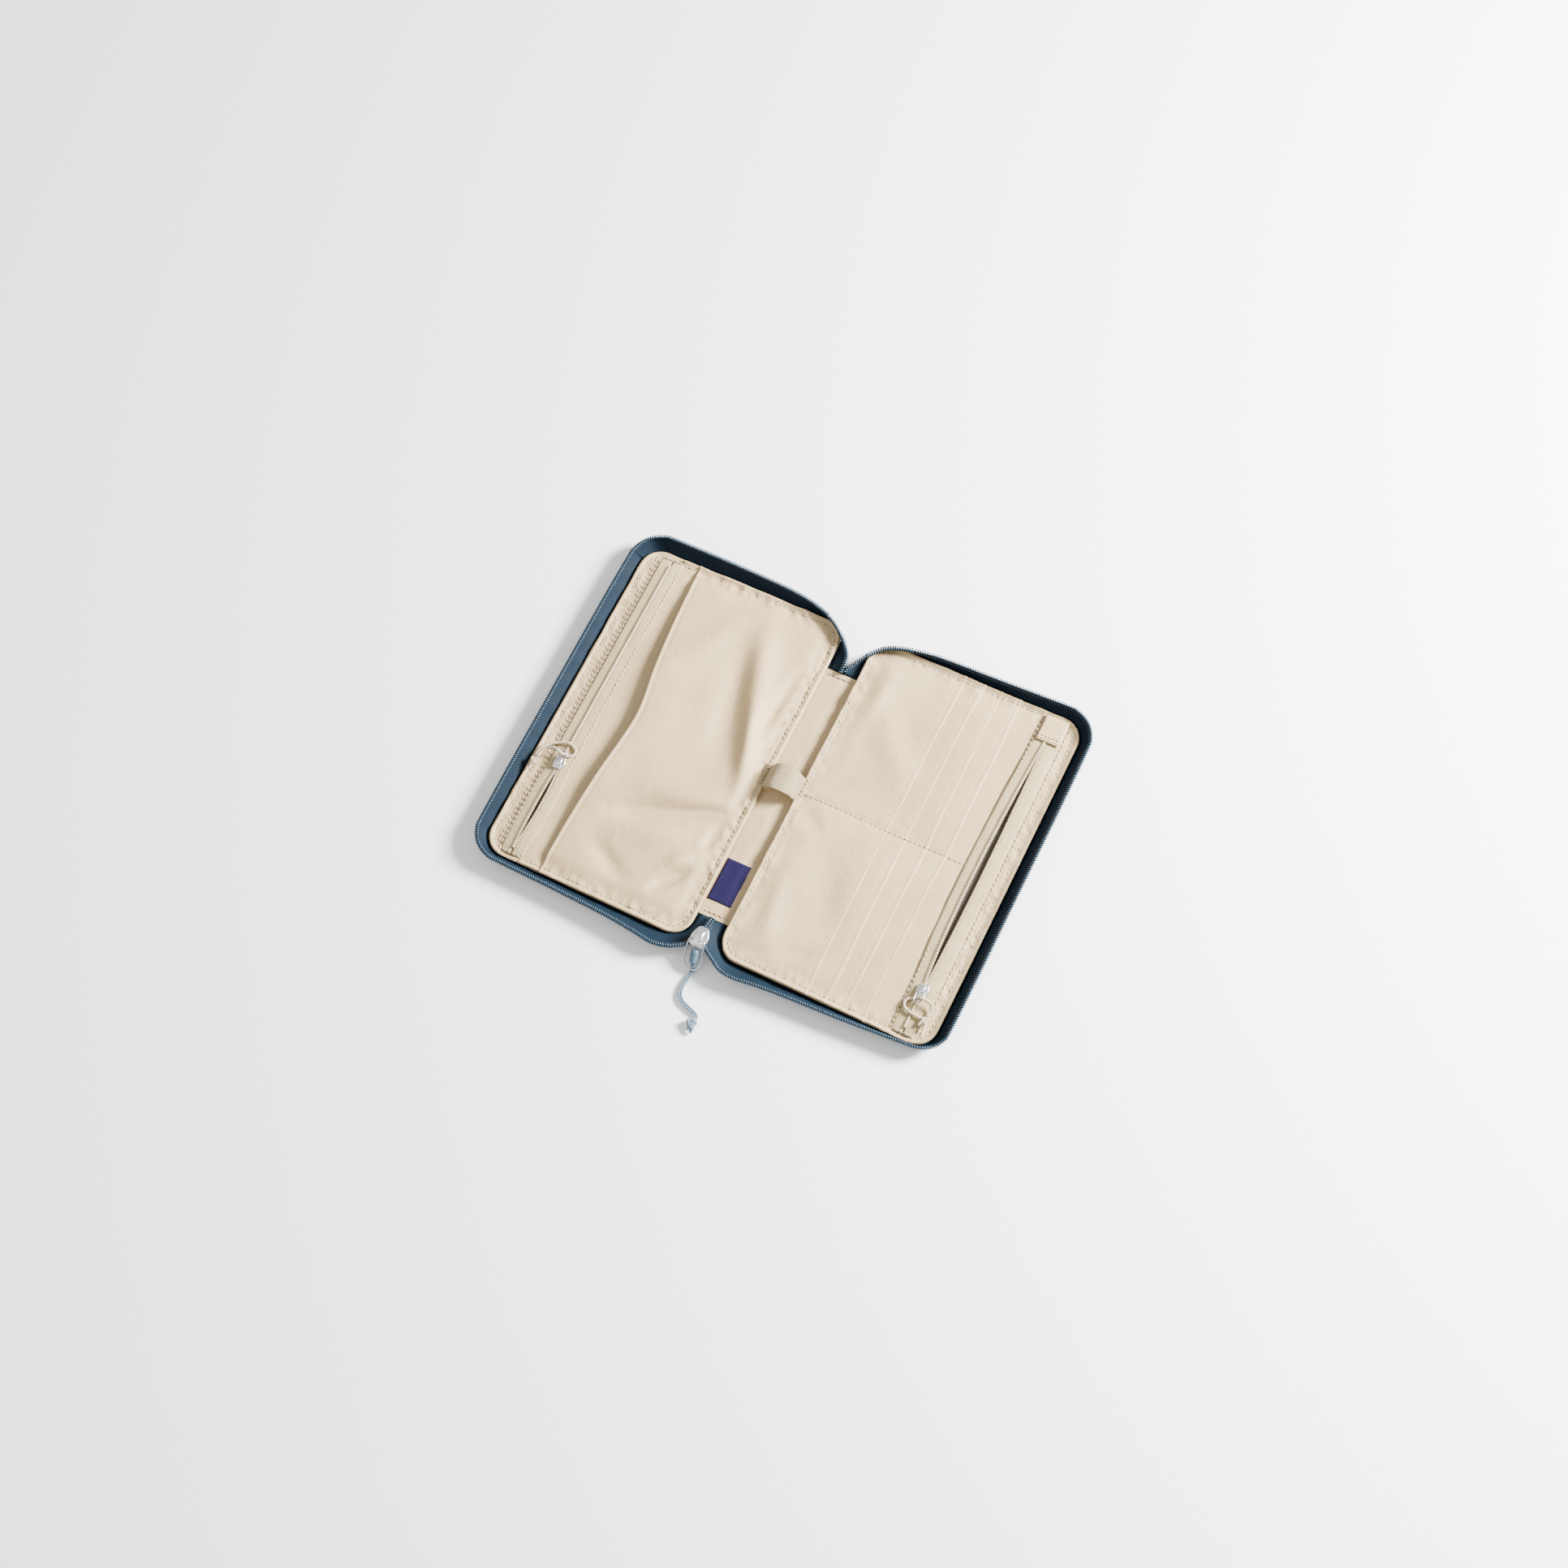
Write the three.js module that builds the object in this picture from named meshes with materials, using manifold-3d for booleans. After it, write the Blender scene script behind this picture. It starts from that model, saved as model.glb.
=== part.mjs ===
// A zip-round travel wallet, lying open and flat like a book.
// Millimetres. X runs across the wallet, Y along its spine, Z up from the surface it lies on.
// The origin is under the middle of the spine. Each half folds up about its own spine edge.
import * as THREE from "three";
import { mergeVertices } from "three/addons/utils/BufferGeometryUtils.js";
import Module from "manifold-3d";

const wasm = await Module();
wasm.setup();

// Driving dimensions.
const SPINE_HALF = 8.5; // from the spine's middle to the fold line of either half
const PANEL_WIDTH = 122; // of one half, from beside its fold line to its outer edge
const PANEL_LENGTH = 193.4; // along the spine
const CORNER = 12; // corner radius of a half
const GAP = 0.5; // between the spine strip and a half
const TAPE_OUT = 6.3; // how far the main zip's tape leans out past a half's edge
const TAPE_TOP = 8; // height of the main zip's coil over the surface below
const COIL_R = 1.1; // radius of one main coil
const SLOT_PITCH = 11; // from one card slot's edge to the next

// Heights of the layers of a half, from the outside in.
const COVER = [0, 0.8];
const STIFFENER = [0.9, 2.1];
const LINING = [2.2, 2.6];
const POCKET = [2.8, 3.1];
const SLOTS_Z = 3.2;
const SLOT_THICK = 0.25;
const SLOT_STEP = 0.35;

const SEAM = 2.5; // width of the seam along a half's edges, free of pockets
const PANEL_IN = SPINE_HALF + GAP;
const PANEL_OUT = PANEL_IN + PANEL_WIDTH;
const PANEL_END = PANEL_LENGTH / 2;
const POCKET_IN = PANEL_IN + SEAM;
const POCKET_OUT = PANEL_OUT - SEAM;
const POCKET_END = PANEL_END - SEAM;

const COLOURS = {
  cover: ["#5b7f99", 0.85, 0],
  tape: ["#1f4560", 0.8, 0],
  coil: ["#24506e", 0.45, 0],
  beige: ["#c9b698", 0.75, 0],
  olive: ["#b8a883", 0.7, 0],
  foam: ["#e8e4da", 0.9, 0],
  label: ["#25285c", 0.7, 0],
  metal: ["#d5d6dc", 0.3, 1],
  sleeve: ["#5f7f94", 0.5, 0],
  cord: ["#8fa6b6", 0.85, 0],
  beigeCord: ["#d8cdb4", 0.85, 0],
};
const material = Object.fromEntries(
  Object.entries(COLOURS).map(([name, [color, roughness, metalness]]) => [
    name,
    new THREE.MeshStandardMaterial({ color, roughness, metalness }),
  ]),
);

const wallet = new THREE.Group();

function add(name, geometry, finish) {
  const mesh = new THREE.Mesh(geometry, material[finish]);
  mesh.name = name;
  wallet.add(mesh);
  return mesh;
}

// Solids that are joined or cut.
function toSolid(geometry) {
  const bare = geometry.clone().deleteAttribute("normal").deleteAttribute("uv");
  const merged = mergeVertices(bare, 1e-4);
  return new wasm.Manifold(
    new wasm.Mesh({
      numProp: 3,
      vertProperties: new Float32Array(merged.attributes.position.array),
      triVerts: new Uint32Array(merged.index.array),
    }),
  );
}

function toGeometry(solid) {
  const mesh = solid.getMesh();
  return new THREE.BufferGeometry()
    .setAttribute("position", new THREE.BufferAttribute(mesh.vertProperties, 3))
    .setIndex(new THREE.BufferAttribute(mesh.triVerts, 1));
}

function join(...geometries) {
  return toGeometry(geometries.map(toSolid).reduce((all, next) => all.add(next)));
}

// A box given by its lowest and highest corners.
function box([x0, y0, z0], [x1, y1, z1]) {
  return new THREE.BoxGeometry(x1 - x0, y1 - y0, z1 - z0).translate(
    (x0 + x1) / 2,
    (y0 + y1) / 2,
    (z0 + z1) / 2,
  );
}

// A flat layer: an outline in X and Y, between two heights.
function layer(shape, [low, high]) {
  return new THREE.ExtrudeGeometry(shape, {
    depth: high - low,
    bevelEnabled: false,
    curveSegments: 5,
  }).translate(0, 0, low);
}

// A section in (down, left of the path) swept along a path.
function sweep(section, path, steps) {
  return new THREE.ExtrudeGeometry(section, { steps, extrudePath: path, curveSegments: 2 });
}

function roundSection(radius, sides) {
  const points = Array.from({ length: sides }, (_, i) => {
    const angle = (2 * Math.PI * i) / sides;
    return new THREE.Vector2(radius * Math.cos(angle), radius * Math.sin(angle));
  });
  return new THREE.Shape(points);
}

function polygon(points) {
  return new THREE.Shape(points.map(([x, y]) => new THREE.Vector2(x, y)));
}

function smoothPath(points) {
  return new THREE.CatmullRomCurve3(
    points.map(([x, y, z]) => new THREE.Vector3(x, y, z)),
    false,
    "centripetal",
  );
}

// The outline of a half's layer: x counts outwards from the spine, and every corner is round.
function halfOutline(side, inner, outer, end, radius) {
  const shape = new THREE.Shape();
  const corner = (x, y, from) => {
    for (let i = 0; i <= 4; i++) {
      const angle = from + (i * Math.PI) / 8;
      shape.lineTo(side * (x + radius * Math.cos(angle)), y + radius * Math.sin(angle));
    }
  };
  shape.moveTo(side * (inner + radius), -end);
  corner(outer - radius, -end + radius, -Math.PI / 2);
  corner(outer - radius, end - radius, 0);
  corner(inner + radius, end - radius, Math.PI / 2);
  corner(inner + radius, -end + radius, Math.PI);
  return shape;
}

function strip(side, x0, x1, y0, y1, heights) {
  const [low, high] = heights;
  return box([Math.min(side * x0, side * x1), y0, low], [Math.max(side * x0, side * x1), y1, high]);
}

// A pocket layer inside the seams: the stretch of the rounded outline from x0 to x1.
function pocketLayer(side, x0, x1, heights) {
  const whole = halfOutline(side, POCKET_IN, POCKET_OUT, POCKET_END, CORNER - SEAM);
  const [low, high] = heights;
  const band = strip(side, x0, x1, -PANEL_END, PANEL_END, [low - 1, high + 1]);
  return toGeometry(toSolid(layer(whole, heights)).intersect(toSolid(band)));
}

// The path of the panel's edge, offset outwards: from one spine corner round to the other.
// Angles are measured on the corner arcs, so "from" and "to" cut the ends back.
function edgePath(side, offset, height) {
  const r = CORNER + offset;
  const x = PANEL_OUT - CORNER;
  const y = PANEL_END - CORNER;
  const start = PANEL_IN + CORNER;
  const points = [];
  for (const end of [-1, 1]) {
    const arc = Array.from({ length: 5 }, (_, i) => {
      const angle = (i * Math.PI) / 8;
      return [side * (x + r * Math.sin(angle)), end * (y + r * Math.cos(angle)), height];
    });
    points.push(...(end < 0 ? arc : arc.reverse()));
  }
  points.unshift([side * start, -PANEL_END - offset, height]);
  points.push([side * start, PANEL_END + offset, height]);
  const path = new THREE.CurvePath();
  const corners = points.map(([px, py, pz]) => new THREE.Vector3(px, py, pz));
  for (let i = 1; i < corners.length; i++) path.add(new THREE.LineCurve3(corners[i - 1], corners[i]));
  // The sweep stands exactly on the path's own corners.
  path.getSpacedPoints = () => corners;
  path.getTangentAt = (t, target = new THREE.Vector3()) => {
    const i = Math.round(t * (corners.length - 1));
    const before = corners[Math.max(i - 1, 0)];
    const after = corners[Math.min(i + 1, corners.length - 1)];
    return target.subVectors(after, before).normalize();
  };
  return { path, steps: corners.length - 1 };
}

// The main zip's tape: a thin band that leans outwards as it rises from the panel's edge.
function tapeSection(side) {
  const low = [-1.2, 0.3];
  const high = [-TAPE_TOP + COIL_R + 0.3, TAPE_OUT - 1.2];
  const thick = 0.6;
  const outward = (left) => -side * left;
  return polygon([
    [low[0], outward(low[1])],
    [low[0], outward(low[1] + thick)],
    [high[0], outward(high[1] + thick)],
    [high[0], outward(high[1])],
  ]);
}

// The spine-side corner of a half's zip: tape and coil together, as they bend round to the spine's end.
function zipCorner(side, end, degrees) {
  const r = CORNER;
  const x = PANEL_IN + CORNER;
  const y = PANEL_END - CORNER;
  const steps = 6;
  const section = polygon([
    [r + 0.4, 1.2],
    [r + 1.0, 1.2],
    [r + TAPE_OUT - 0.4, TAPE_TOP - COIL_R],
    [r + TAPE_OUT + COIL_R, TAPE_TOP - 0.5],
    [r + TAPE_OUT + COIL_R, TAPE_TOP + 0.5],
    [r + TAPE_OUT, TAPE_TOP + COIL_R],
    [r + TAPE_OUT - COIL_R, TAPE_TOP],
  ]);
  const profile = section.getPoints();
  profile.push(profile[0].clone());
  const sweepAngle = (degrees * Math.PI) / 180;
  // A lathe makes an open arc, so its two end faces are cut from a full ring.
  const ring = toSolid(new THREE.LatheGeometry(profile, steps * 8).rotateX(Math.PI / 2));
  const wedge = new THREE.Shape();
  const reach = 2 * (r + TAPE_OUT);
  wedge.moveTo(0, 0);
  for (let i = 0; i <= steps; i++) {
    const angle = 0.02 + ((sweepAngle - 0.02) * i) / steps;
    wedge.lineTo(-side * reach * Math.sin(angle), end * reach * Math.cos(angle));
  }
  const slice = toSolid(layer(wedge, [-1, TAPE_TOP + 2 * COIL_R]));
  return toGeometry(ring.intersect(slice)).translate(side * x, end * y, 0);
}

// One half: its cover, stiffener, lining and main zip.
for (const [word, side] of [["left", -1], ["right", 1]]) {
  add(`${word}_cover`, layer(halfOutline(side, PANEL_IN, PANEL_OUT, PANEL_END, CORNER), COVER), "cover");
  const board = halfOutline(side, PANEL_IN + 2, PANEL_OUT - 2, PANEL_END - 2, CORNER - 2);
  add(`${word}_stiffener`, layer(board, STIFFENER), "foam");
  add(`${word}_lining`, layer(halfOutline(side, PANEL_IN, PANEL_OUT, PANEL_END, CORNER), LINING), "beige");
  const tape = edgePath(side, 0, 0);
  add(`${word}_zip_tape`, sweep(tapeSection(side), tape.path, tape.steps), "tape");
  const coil = edgePath(side, TAPE_OUT, TAPE_TOP);
  add(`${word}_zip_coil`, sweep(roundSection(COIL_R, 6), coil.path, coil.steps), "coil");
  add(`${word}_zip_corner_top`, zipCorner(side, 1, 68), "tape");
  add(`${word}_zip_corner_bottom`, zipCorner(side, -1, 50), "tape");
}

// The spine: outer strip, lining between its two hems, pen loop and sewn-in label.
const SPINE_EDGE = SPINE_HALF - 0.3;
const HEM_BOTTOM = -80;
const HEM_TOP = 71.5;
const SPINE_COVER_Y = [-85, 77];
add(
  "spine_cover",
  box([-SPINE_EDGE, SPINE_COVER_Y[0], COVER[0]], [SPINE_EDGE, SPINE_COVER_Y[1], COVER[1]]),
  "cover",
);
const SPINE_LINING = [0.9, 1.3];
add(
  "spine_lining",
  box([-SPINE_EDGE, HEM_BOTTOM, SPINE_LINING[0]], [SPINE_EDGE, HEM_TOP, SPINE_LINING[1]]),
  "beige",
);

const LABEL = { x: [-6.5, 5.2], y: [-71, -46.8], z: [1.45, 1.85] };
add(
  "side_label",
  box([LABEL.x[0], LABEL.y[0], LABEL.z[0]], [LABEL.x[1], LABEL.y[1], LABEL.z[1]]),
  "label",
);

const LOOP = { half: 7.2, rise: 11, thick: 0.9, y: [-4.5, 8.5], foot: 1.6 };
const arch = new THREE.Shape();
arch.moveTo(-LOOP.half, LOOP.foot);
arch.lineTo(-LOOP.half, LOOP.foot + LOOP.rise - LOOP.half);
arch.absarc(0, LOOP.foot + LOOP.rise - LOOP.half, LOOP.half, Math.PI, 0, true);
arch.lineTo(LOOP.half, LOOP.foot);
arch.lineTo(LOOP.half - LOOP.thick, LOOP.foot);
arch.absarc(0, LOOP.foot + LOOP.rise - LOOP.half, LOOP.half - LOOP.thick, 0, Math.PI, false);
arch.lineTo(-LOOP.half + LOOP.thick, LOOP.foot);
const archGeometry = new THREE.ExtrudeGeometry(arch, {
  depth: LOOP.y[1] - LOOP.y[0],
  bevelEnabled: false,
  curveSegments: 8,
});
add("pen_loop", archGeometry.rotateX(Math.PI / 2).translate(0, LOOP.y[1], 0), "olive");

// The joined ends of the two main tapes at the spine, and the short closed stretch of coil below.
const ZIP_END_HALF = 4.2;
function spineEnd(inner, outer) {
  const profile = polygon([
    [inner, 0.95],
    [inner, 1.45],
    [outer, 3.9],
    [outer, 3.4],
  ]);
  const band = new THREE.ExtrudeGeometry(profile, { depth: 2 * ZIP_END_HALF, bevelEnabled: false });
  // The profile's (y, z) plane is turned upright, with its depth across the spine.
  return band.rotateY(Math.PI / 2).rotateX(Math.PI / 2).translate(-ZIP_END_HALF, 0, 0);
}
add("bottom_zip_end", spineEnd(HEM_BOTTOM - 0.4, -PANEL_END), "tape");
add("top_zip_end", spineEnd(HEM_TOP + 0.4, PANEL_END - 6), "tape");
const closedCoil = (y0, z0, y1, z1) =>
  new THREE.LineCurve3(new THREE.Vector3(0, y0, z0), new THREE.Vector3(0, y1, z1));
const closedSection = polygon([[-2.4, -0.8], [2.4, -0.8], [2.4, 0.8], [-2.4, 0.8]]);
add("closed_coil_bottom", sweep(closedSection, closedCoil(-80.8, 2.7, -87.4, 5.2), 1), "coil");
add("closed_coil_top", sweep(closedSection, closedCoil(72.4, 2.7, 86, 5.9), 1), "coil");

// A zip slider seen from above: a narrow nose where the closed coil leaves it, shoulders, and a mouth
// where the two open coils enter either side of its post. Two plates, with a bridge for the pull on top.
// Its nose points along +Y, and it stands on z = 0.
function sliderBody({ half, under, length, height, plate, bridge }) {
  const outline = (width) =>
    polygon([
      [-width * 0.62, length * 0.5],
      [width * 0.62, length * 0.5],
      [width, length * 0.02],
      [width * 0.75, -length * 0.5],
      [-width * 0.75, -length * 0.5],
      [-width, length * 0.02],
    ]);
  const low = layer(outline(under), [0, plate]);
  const high = layer(outline(half), [height - plate, height]);
  const post = new THREE.CylinderGeometry(half * 0.28, half * 0.28, height - plate, 8)
    .rotateX(Math.PI / 2)
    .translate(0, -length * 0.25, height / 2);
  const arm = new THREE.Shape();
  arm.moveTo(-bridge.length / 2, height - plate / 2);
  arm.lineTo(-bridge.length / 2, height + bridge.height * 0.7);
  arm.lineTo(-bridge.length / 4, height + bridge.height);
  arm.lineTo(bridge.length / 4, height + bridge.height);
  arm.lineTo(bridge.length / 2, height + bridge.height * 0.7);
  arm.lineTo(bridge.length / 2, height - plate / 2);
  const eye = new THREE.Path();
  const [ey, ez] = [bridge.length / 2 - bridge.wall, bridge.height - bridge.wall];
  eye.moveTo(-ey, height + 0.02);
  eye.lineTo(ey, height + 0.02);
  eye.lineTo(ey, height + ez);
  eye.lineTo(-ey, height + ez);
  arm.holes.push(eye);
  const arch = new THREE.ExtrudeGeometry(arm, { depth: bridge.width, bevelEnabled: false })
    .rotateY(Math.PI / 2)
    .rotateX(Math.PI / 2)
    .translate(-bridge.width / 2, 0, 0);
  return join(low, high, post, arch);
}

// Main slider, just below the closed coil. It lies flat, with its mouth away from the spine's lining.
const MAIN = { y: -93.4, z: 5.2, half: 4.3, under: 3.9, length: 11, height: 4.4, plate: 1 };
const MAIN_BRIDGE = { length: 7, height: 2.6, wall: 0.7, width: 2 };
const mainSlider = sliderBody({ ...MAIN, bridge: MAIN_BRIDGE });
add("main_slider", mainSlider.translate(0, MAIN.y, MAIN.z), "metal");

// Its pull: a wire hoop through the bridge, a sleeve on the hoop, and a knotted cord.
// The pull is drawn along +Y' from its pivot and then turned about Z, and slopes down to the surface.
const PIVOT = new THREE.Vector3(0, MAIN.y - 1.4, MAIN.z + MAIN.height + 1.0);
const HOOP_R = 0.5;
const hoopHalf = 3.6;
const hoopPoints = [
  [4.4, -13.2, -7.0],
  [5.6, -12.2, -6.7],
  [6.0, -10.0, -5.8],
  [5.2, -5.2, -2.4],
  [hoopHalf + 0.5, -1.6, -0.2],
  [1.6, 0, 0],
  [-1.6, 0, 0],
  [-hoopHalf - 0.5, -1.6, -0.2],
  [-4.5, -5.6, -2.2],
  [-3.6, -11.6, -6.4],
  [-1.9, -13.4, -7.0],
].map(([x, y, z]) => [PIVOT.x + x, PIVOT.y + y, PIVOT.z + z]);
add("main_pull_hoop", sweep(roundSection(HOOP_R, 6), smoothPath(hoopPoints), 30), "metal");

const SLEEVE = { length: 7.4, radius: 2.1 };
const sleeveMiddle = new THREE.Vector3(PIVOT.x + 1.3, PIVOT.y - 8.2, PIVOT.z - 4.6);
const sleeveDirection = new THREE.Vector3(0.12, -0.86, -0.5).normalize();
const sleeveEnd = (t) => sleeveMiddle.clone().addScaledVector(sleeveDirection, t * SLEEVE.length);
const sleeveBody = new THREE.CylinderGeometry(SLEEVE.radius, SLEEVE.radius, SLEEVE.length, 10);
sleeveBody.applyQuaternion(
  new THREE.Quaternion().setFromUnitVectors(new THREE.Vector3(0, 1, 0), sleeveDirection),
);
sleeveBody.translate(sleeveMiddle.x, sleeveMiddle.y, sleeveMiddle.z);
add("main_pull_sleeve", sleeveBody, "sleeve");

// The cord leaves the sleeve's lower end, drops to the surface and lies in an S to its knot.
const CORD_R = 1.1;
const cordStart = sleeveEnd(0.5 + 0.3 / SLEEVE.length);
const MAIN_CORD = [
  [cordStart.x, cordStart.y, cordStart.z],
  [2.6, -109.6, 1.6],
  [2.1, -113.5, 1.2],
  [1.7, -117.5, 1.2],
  [2.0, -121.5, 1.2],
  [3.8, -124.9, 1.2],
  [7.4, -127.0, 1.2],
  [11.4, -128.2, 1.2],
  [14.6, -129.4, 1.2],
  [16.2, -131.4, 1.2],
];
add("main_pull_cord", sweep(roundSection(CORD_R, 8), smoothPath(MAIN_CORD), 22), "cord");
const KNOT = { x: 15.2, y: -135.2, z: 2.4, radius: 2.4 };
const knotBall = new THREE.SphereGeometry(KNOT.radius, 10, 7);
add("main_pull_knot", knotBall.translate(KNOT.x, KNOT.y, KNOT.z), "cord");

// Left half: a coin pocket with a zip beside the outer edge, under a wide passport pocket.
const COIN_ZIP = 114.4; // x of the zip's middle line
const COIN_SLIDER_Y = -38;
const PASSPORT_EDGE = 95;
const INNER_ZIP = { gap: 2.7, coil: 0.7, tape: 6.5 };
const OPEN_END = -90;
const TOP_END = 90;
const STRIP_THICK = 0.35;
const ZIP_TAPE_Z = [3.2, 3.2 + STRIP_THICK];
const INNER_COIL_Z = ZIP_TAPE_Z[1] + INNER_ZIP.coil + 0.05;

add("coin_pocket_panel", pocketLayer(-1, POCKET_IN, COIN_ZIP - 6, POCKET), "beige");
add("coin_outer_strip", pocketLayer(-1, COIN_ZIP + 7, POCKET_OUT, POCKET), "beige");
add("passport_pocket", pocketLayer(-1, POCKET_IN, PASSPORT_EDGE, [3.6, 4.1]), "beige");

// The tapes, coils and slider of a pocket zip. The open stretch runs from "open" to the slider.
function pocketZip(name, side, x, slider, open, closedTo) {
  const inner = strip(side, x - INNER_ZIP.gap - INNER_ZIP.tape, x - INNER_ZIP.gap, -91, 91, ZIP_TAPE_Z);
  const outer = strip(side, x + INNER_ZIP.gap, x + INNER_ZIP.gap + INNER_ZIP.tape, -91, 91, ZIP_TAPE_Z);
  add(`${name}_zip_inner_tape`, inner, "olive");
  add(`${name}_zip_outer_tape`, outer, "olive");
  const ends = [Math.min(open, slider), Math.max(open, slider)];
  const clear = 5;
  const line = (px, y0, y1) =>
    new THREE.LineCurve3(
      new THREE.Vector3(side * px, y0, INNER_COIL_Z),
      new THREE.Vector3(side * px, y1, INNER_COIL_Z),
    );
  const bead = roundSection(INNER_ZIP.coil, 6);
  const [y0, y1] = open < slider ? [ends[0], ends[1] - clear] : [ends[0] + clear, ends[1]];
  add(`${name}_zip_inner_coil`, sweep(bead, line(x - INNER_ZIP.gap - INNER_ZIP.coil, y0, y1), 1), "olive");
  add(`${name}_zip_outer_coil`, sweep(bead, line(x + INNER_ZIP.gap + INNER_ZIP.coil, y0, y1), 1), "olive");
  const [c0, c1] = open < slider ? [slider + clear, closedTo] : [closedTo, slider - clear];
  const pair = polygon([[-0.6, -1.5], [0.6, -1.5], [0.6, 1.5], [-0.6, 1.5]]);
  add(`${name}_zip_closed_coil`, sweep(pair, line(x, c0, c1), 1), "olive");
}

pocketZip("coin", -1, COIN_ZIP, COIN_SLIDER_Y, OPEN_END, TOP_END);

// Right half: a note pocket with a zip beside the outer edge, under four stepped card slots.
const NOTE_ZIP = 115;
const NOTE_SLIDER_Y = -70;
add("note_pocket_panel", pocketLayer(1, POCKET_IN, NOTE_ZIP - 6, POCKET), "beige");
add("note_outer_strip", pocketLayer(1, NOTE_ZIP + 7, POCKET_OUT, POCKET), "beige");
const FIRST_SLOT = 62;
for (let slot = 1; slot <= 4; slot++) {
  const low = SLOTS_Z + (4 - slot) * SLOT_STEP;
  const edge = FIRST_SLOT + (slot - 1) * SLOT_PITCH;
  const heights = [low, low + SLOT_THICK];
  add(`card_slot_${slot}`, pocketLayer(1, POCKET_IN, edge, heights), "beige");
}
pocketZip("note", 1, NOTE_ZIP, NOTE_SLIDER_Y, 78, -POCKET_END + 3);
add(
  "note_zip_top_patch",
  box([NOTE_ZIP - 5, 80, ZIP_TAPE_Z[1] + 0.15], [NOTE_ZIP + 7, POCKET_END, ZIP_TAPE_Z[1] + 0.55]),
  "beige",
);

// The two pocket sliders are alike. The coin slider's nose points along +Y, the note slider's along -Y.
const SMALL = { half: 3.1, under: 2.4, length: 8, height: 2.9, plate: 0.6 };
const SMALL_BRIDGE = { length: 5, height: 1.9, wall: 0.5, width: 1.4 };
const SMALL_Z = LINING[1] + 0.2;
const SMALL_PIVOT = SMALL_Z + SMALL.height + 0.85;
const smallSlider = () => sliderBody({ ...SMALL, bridge: SMALL_BRIDGE });
add("coin_slider", smallSlider().translate(-COIN_ZIP, COIN_SLIDER_Y, SMALL_Z), "metal");
add(
  "note_slider",
  smallSlider().rotateZ(Math.PI).translate(NOTE_ZIP, NOTE_SLIDER_Y, SMALL_Z),
  "metal",
);

// A small wire eye through a slider's bridge, pointing past its nose, and the cord loop threaded through it.
// The loop's two ends meet in a knot. Places are counted from the slider's middle.
function smallPull(name, x, y, nose, route, knot) {
  const place = ([px, py, pz]) => [x + px, y + py, pz];
  const eye = [
    [0.7, nose * 6.6, SMALL_PIVOT + 0.7],
    [1.8, nose * 5.6, SMALL_PIVOT + 0.6],
    [2.0, nose * 2.8, SMALL_PIVOT + 0.3],
    [1.7, nose * 0.5, SMALL_PIVOT],
    [0.9, 0, SMALL_PIVOT],
    [-0.9, 0, SMALL_PIVOT],
    [-1.7, nose * 0.5, SMALL_PIVOT],
    [-2.0, nose * 2.8, SMALL_PIVOT + 0.3],
    [-1.8, nose * 5.6, SMALL_PIVOT + 0.6],
    [-0.7, nose * 6.6, SMALL_PIVOT + 0.7],
  ].map(place);
  add(`${name}_pull_eye`, sweep(roundSection(0.4, 6), smoothPath(eye), 24), "metal");
  const tube = sweep(roundSection(0.8, 8), smoothPath(route.map(place)), 36);
  add(`${name}_pull_cord`, tube, "beigeCord");
  const ball = new THREE.SphereGeometry(1.9, 10, 7);
  add(`${name}_pull_knot`, ball.translate(...place(knot)), "beigeCord");
}

const COIN_CORD = [
  [-12.5, -2.0, 5.9],
  [-12.0, 1.4, 5.6],
  [-9.6, 4.4, 6.3],
  [-6.0, 5.6, 7.8],
  [-2.1, 4.6, 8.9],
  [0, 4.6, 7.2],
  [2.2, 5.0, 5.4],
  [4.6, 6.6, 4.9],
  [4.9, 9.2, 4.7],
  [2.6, 11.2, 5.4],
  [-0.2, 11.6, 5.9],
  [-3.4, 10.9, 5.5],
  [-6.6, 9.6, 4.8],
  [-9.6, 7.8, 4.5],
  [-12.4, 4.8, 4.5],
  [-13.9, 1.2, 4.7],
  [-13.9, -2.0, 5.3],
];
smallPull("coin", -COIN_ZIP, COIN_SLIDER_Y, 1, COIN_CORD, [-13.0, -4.6, 6.0]);
const NOTE_CORD = [
  [8.3, -11.0, 5.9],
  [8.9, -8.2, 5.7],
  [8.2, -5.4, 6.7],
  [5.4, -4.0, 8.0],
  [2.1, -4.3, 8.9],
  [0, -4.6, 7.2],
  [-2.2, -5.2, 5.4],
  [-4.9, -6.6, 4.9],
  [-5.6, -9.2, 4.7],
  [-3.8, -11.6, 5.2],
  [-0.6, -12.6, 5.9],
  [2.8, -12.9, 5.7],
  [5.7, -13.2, 5.4],
];
smallPull("note", NOTE_ZIP, NOTE_SLIDER_Y, -1, NOTE_CORD, [8.2, -13.6, 6.0]);

export default wallet;
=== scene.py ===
"""A zip-round travel wallet lying open: fabric, zips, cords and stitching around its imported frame."""

import math

import bmesh
import bpy
import numpy as np
from mathutils import Matrix, Vector, noise


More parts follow.
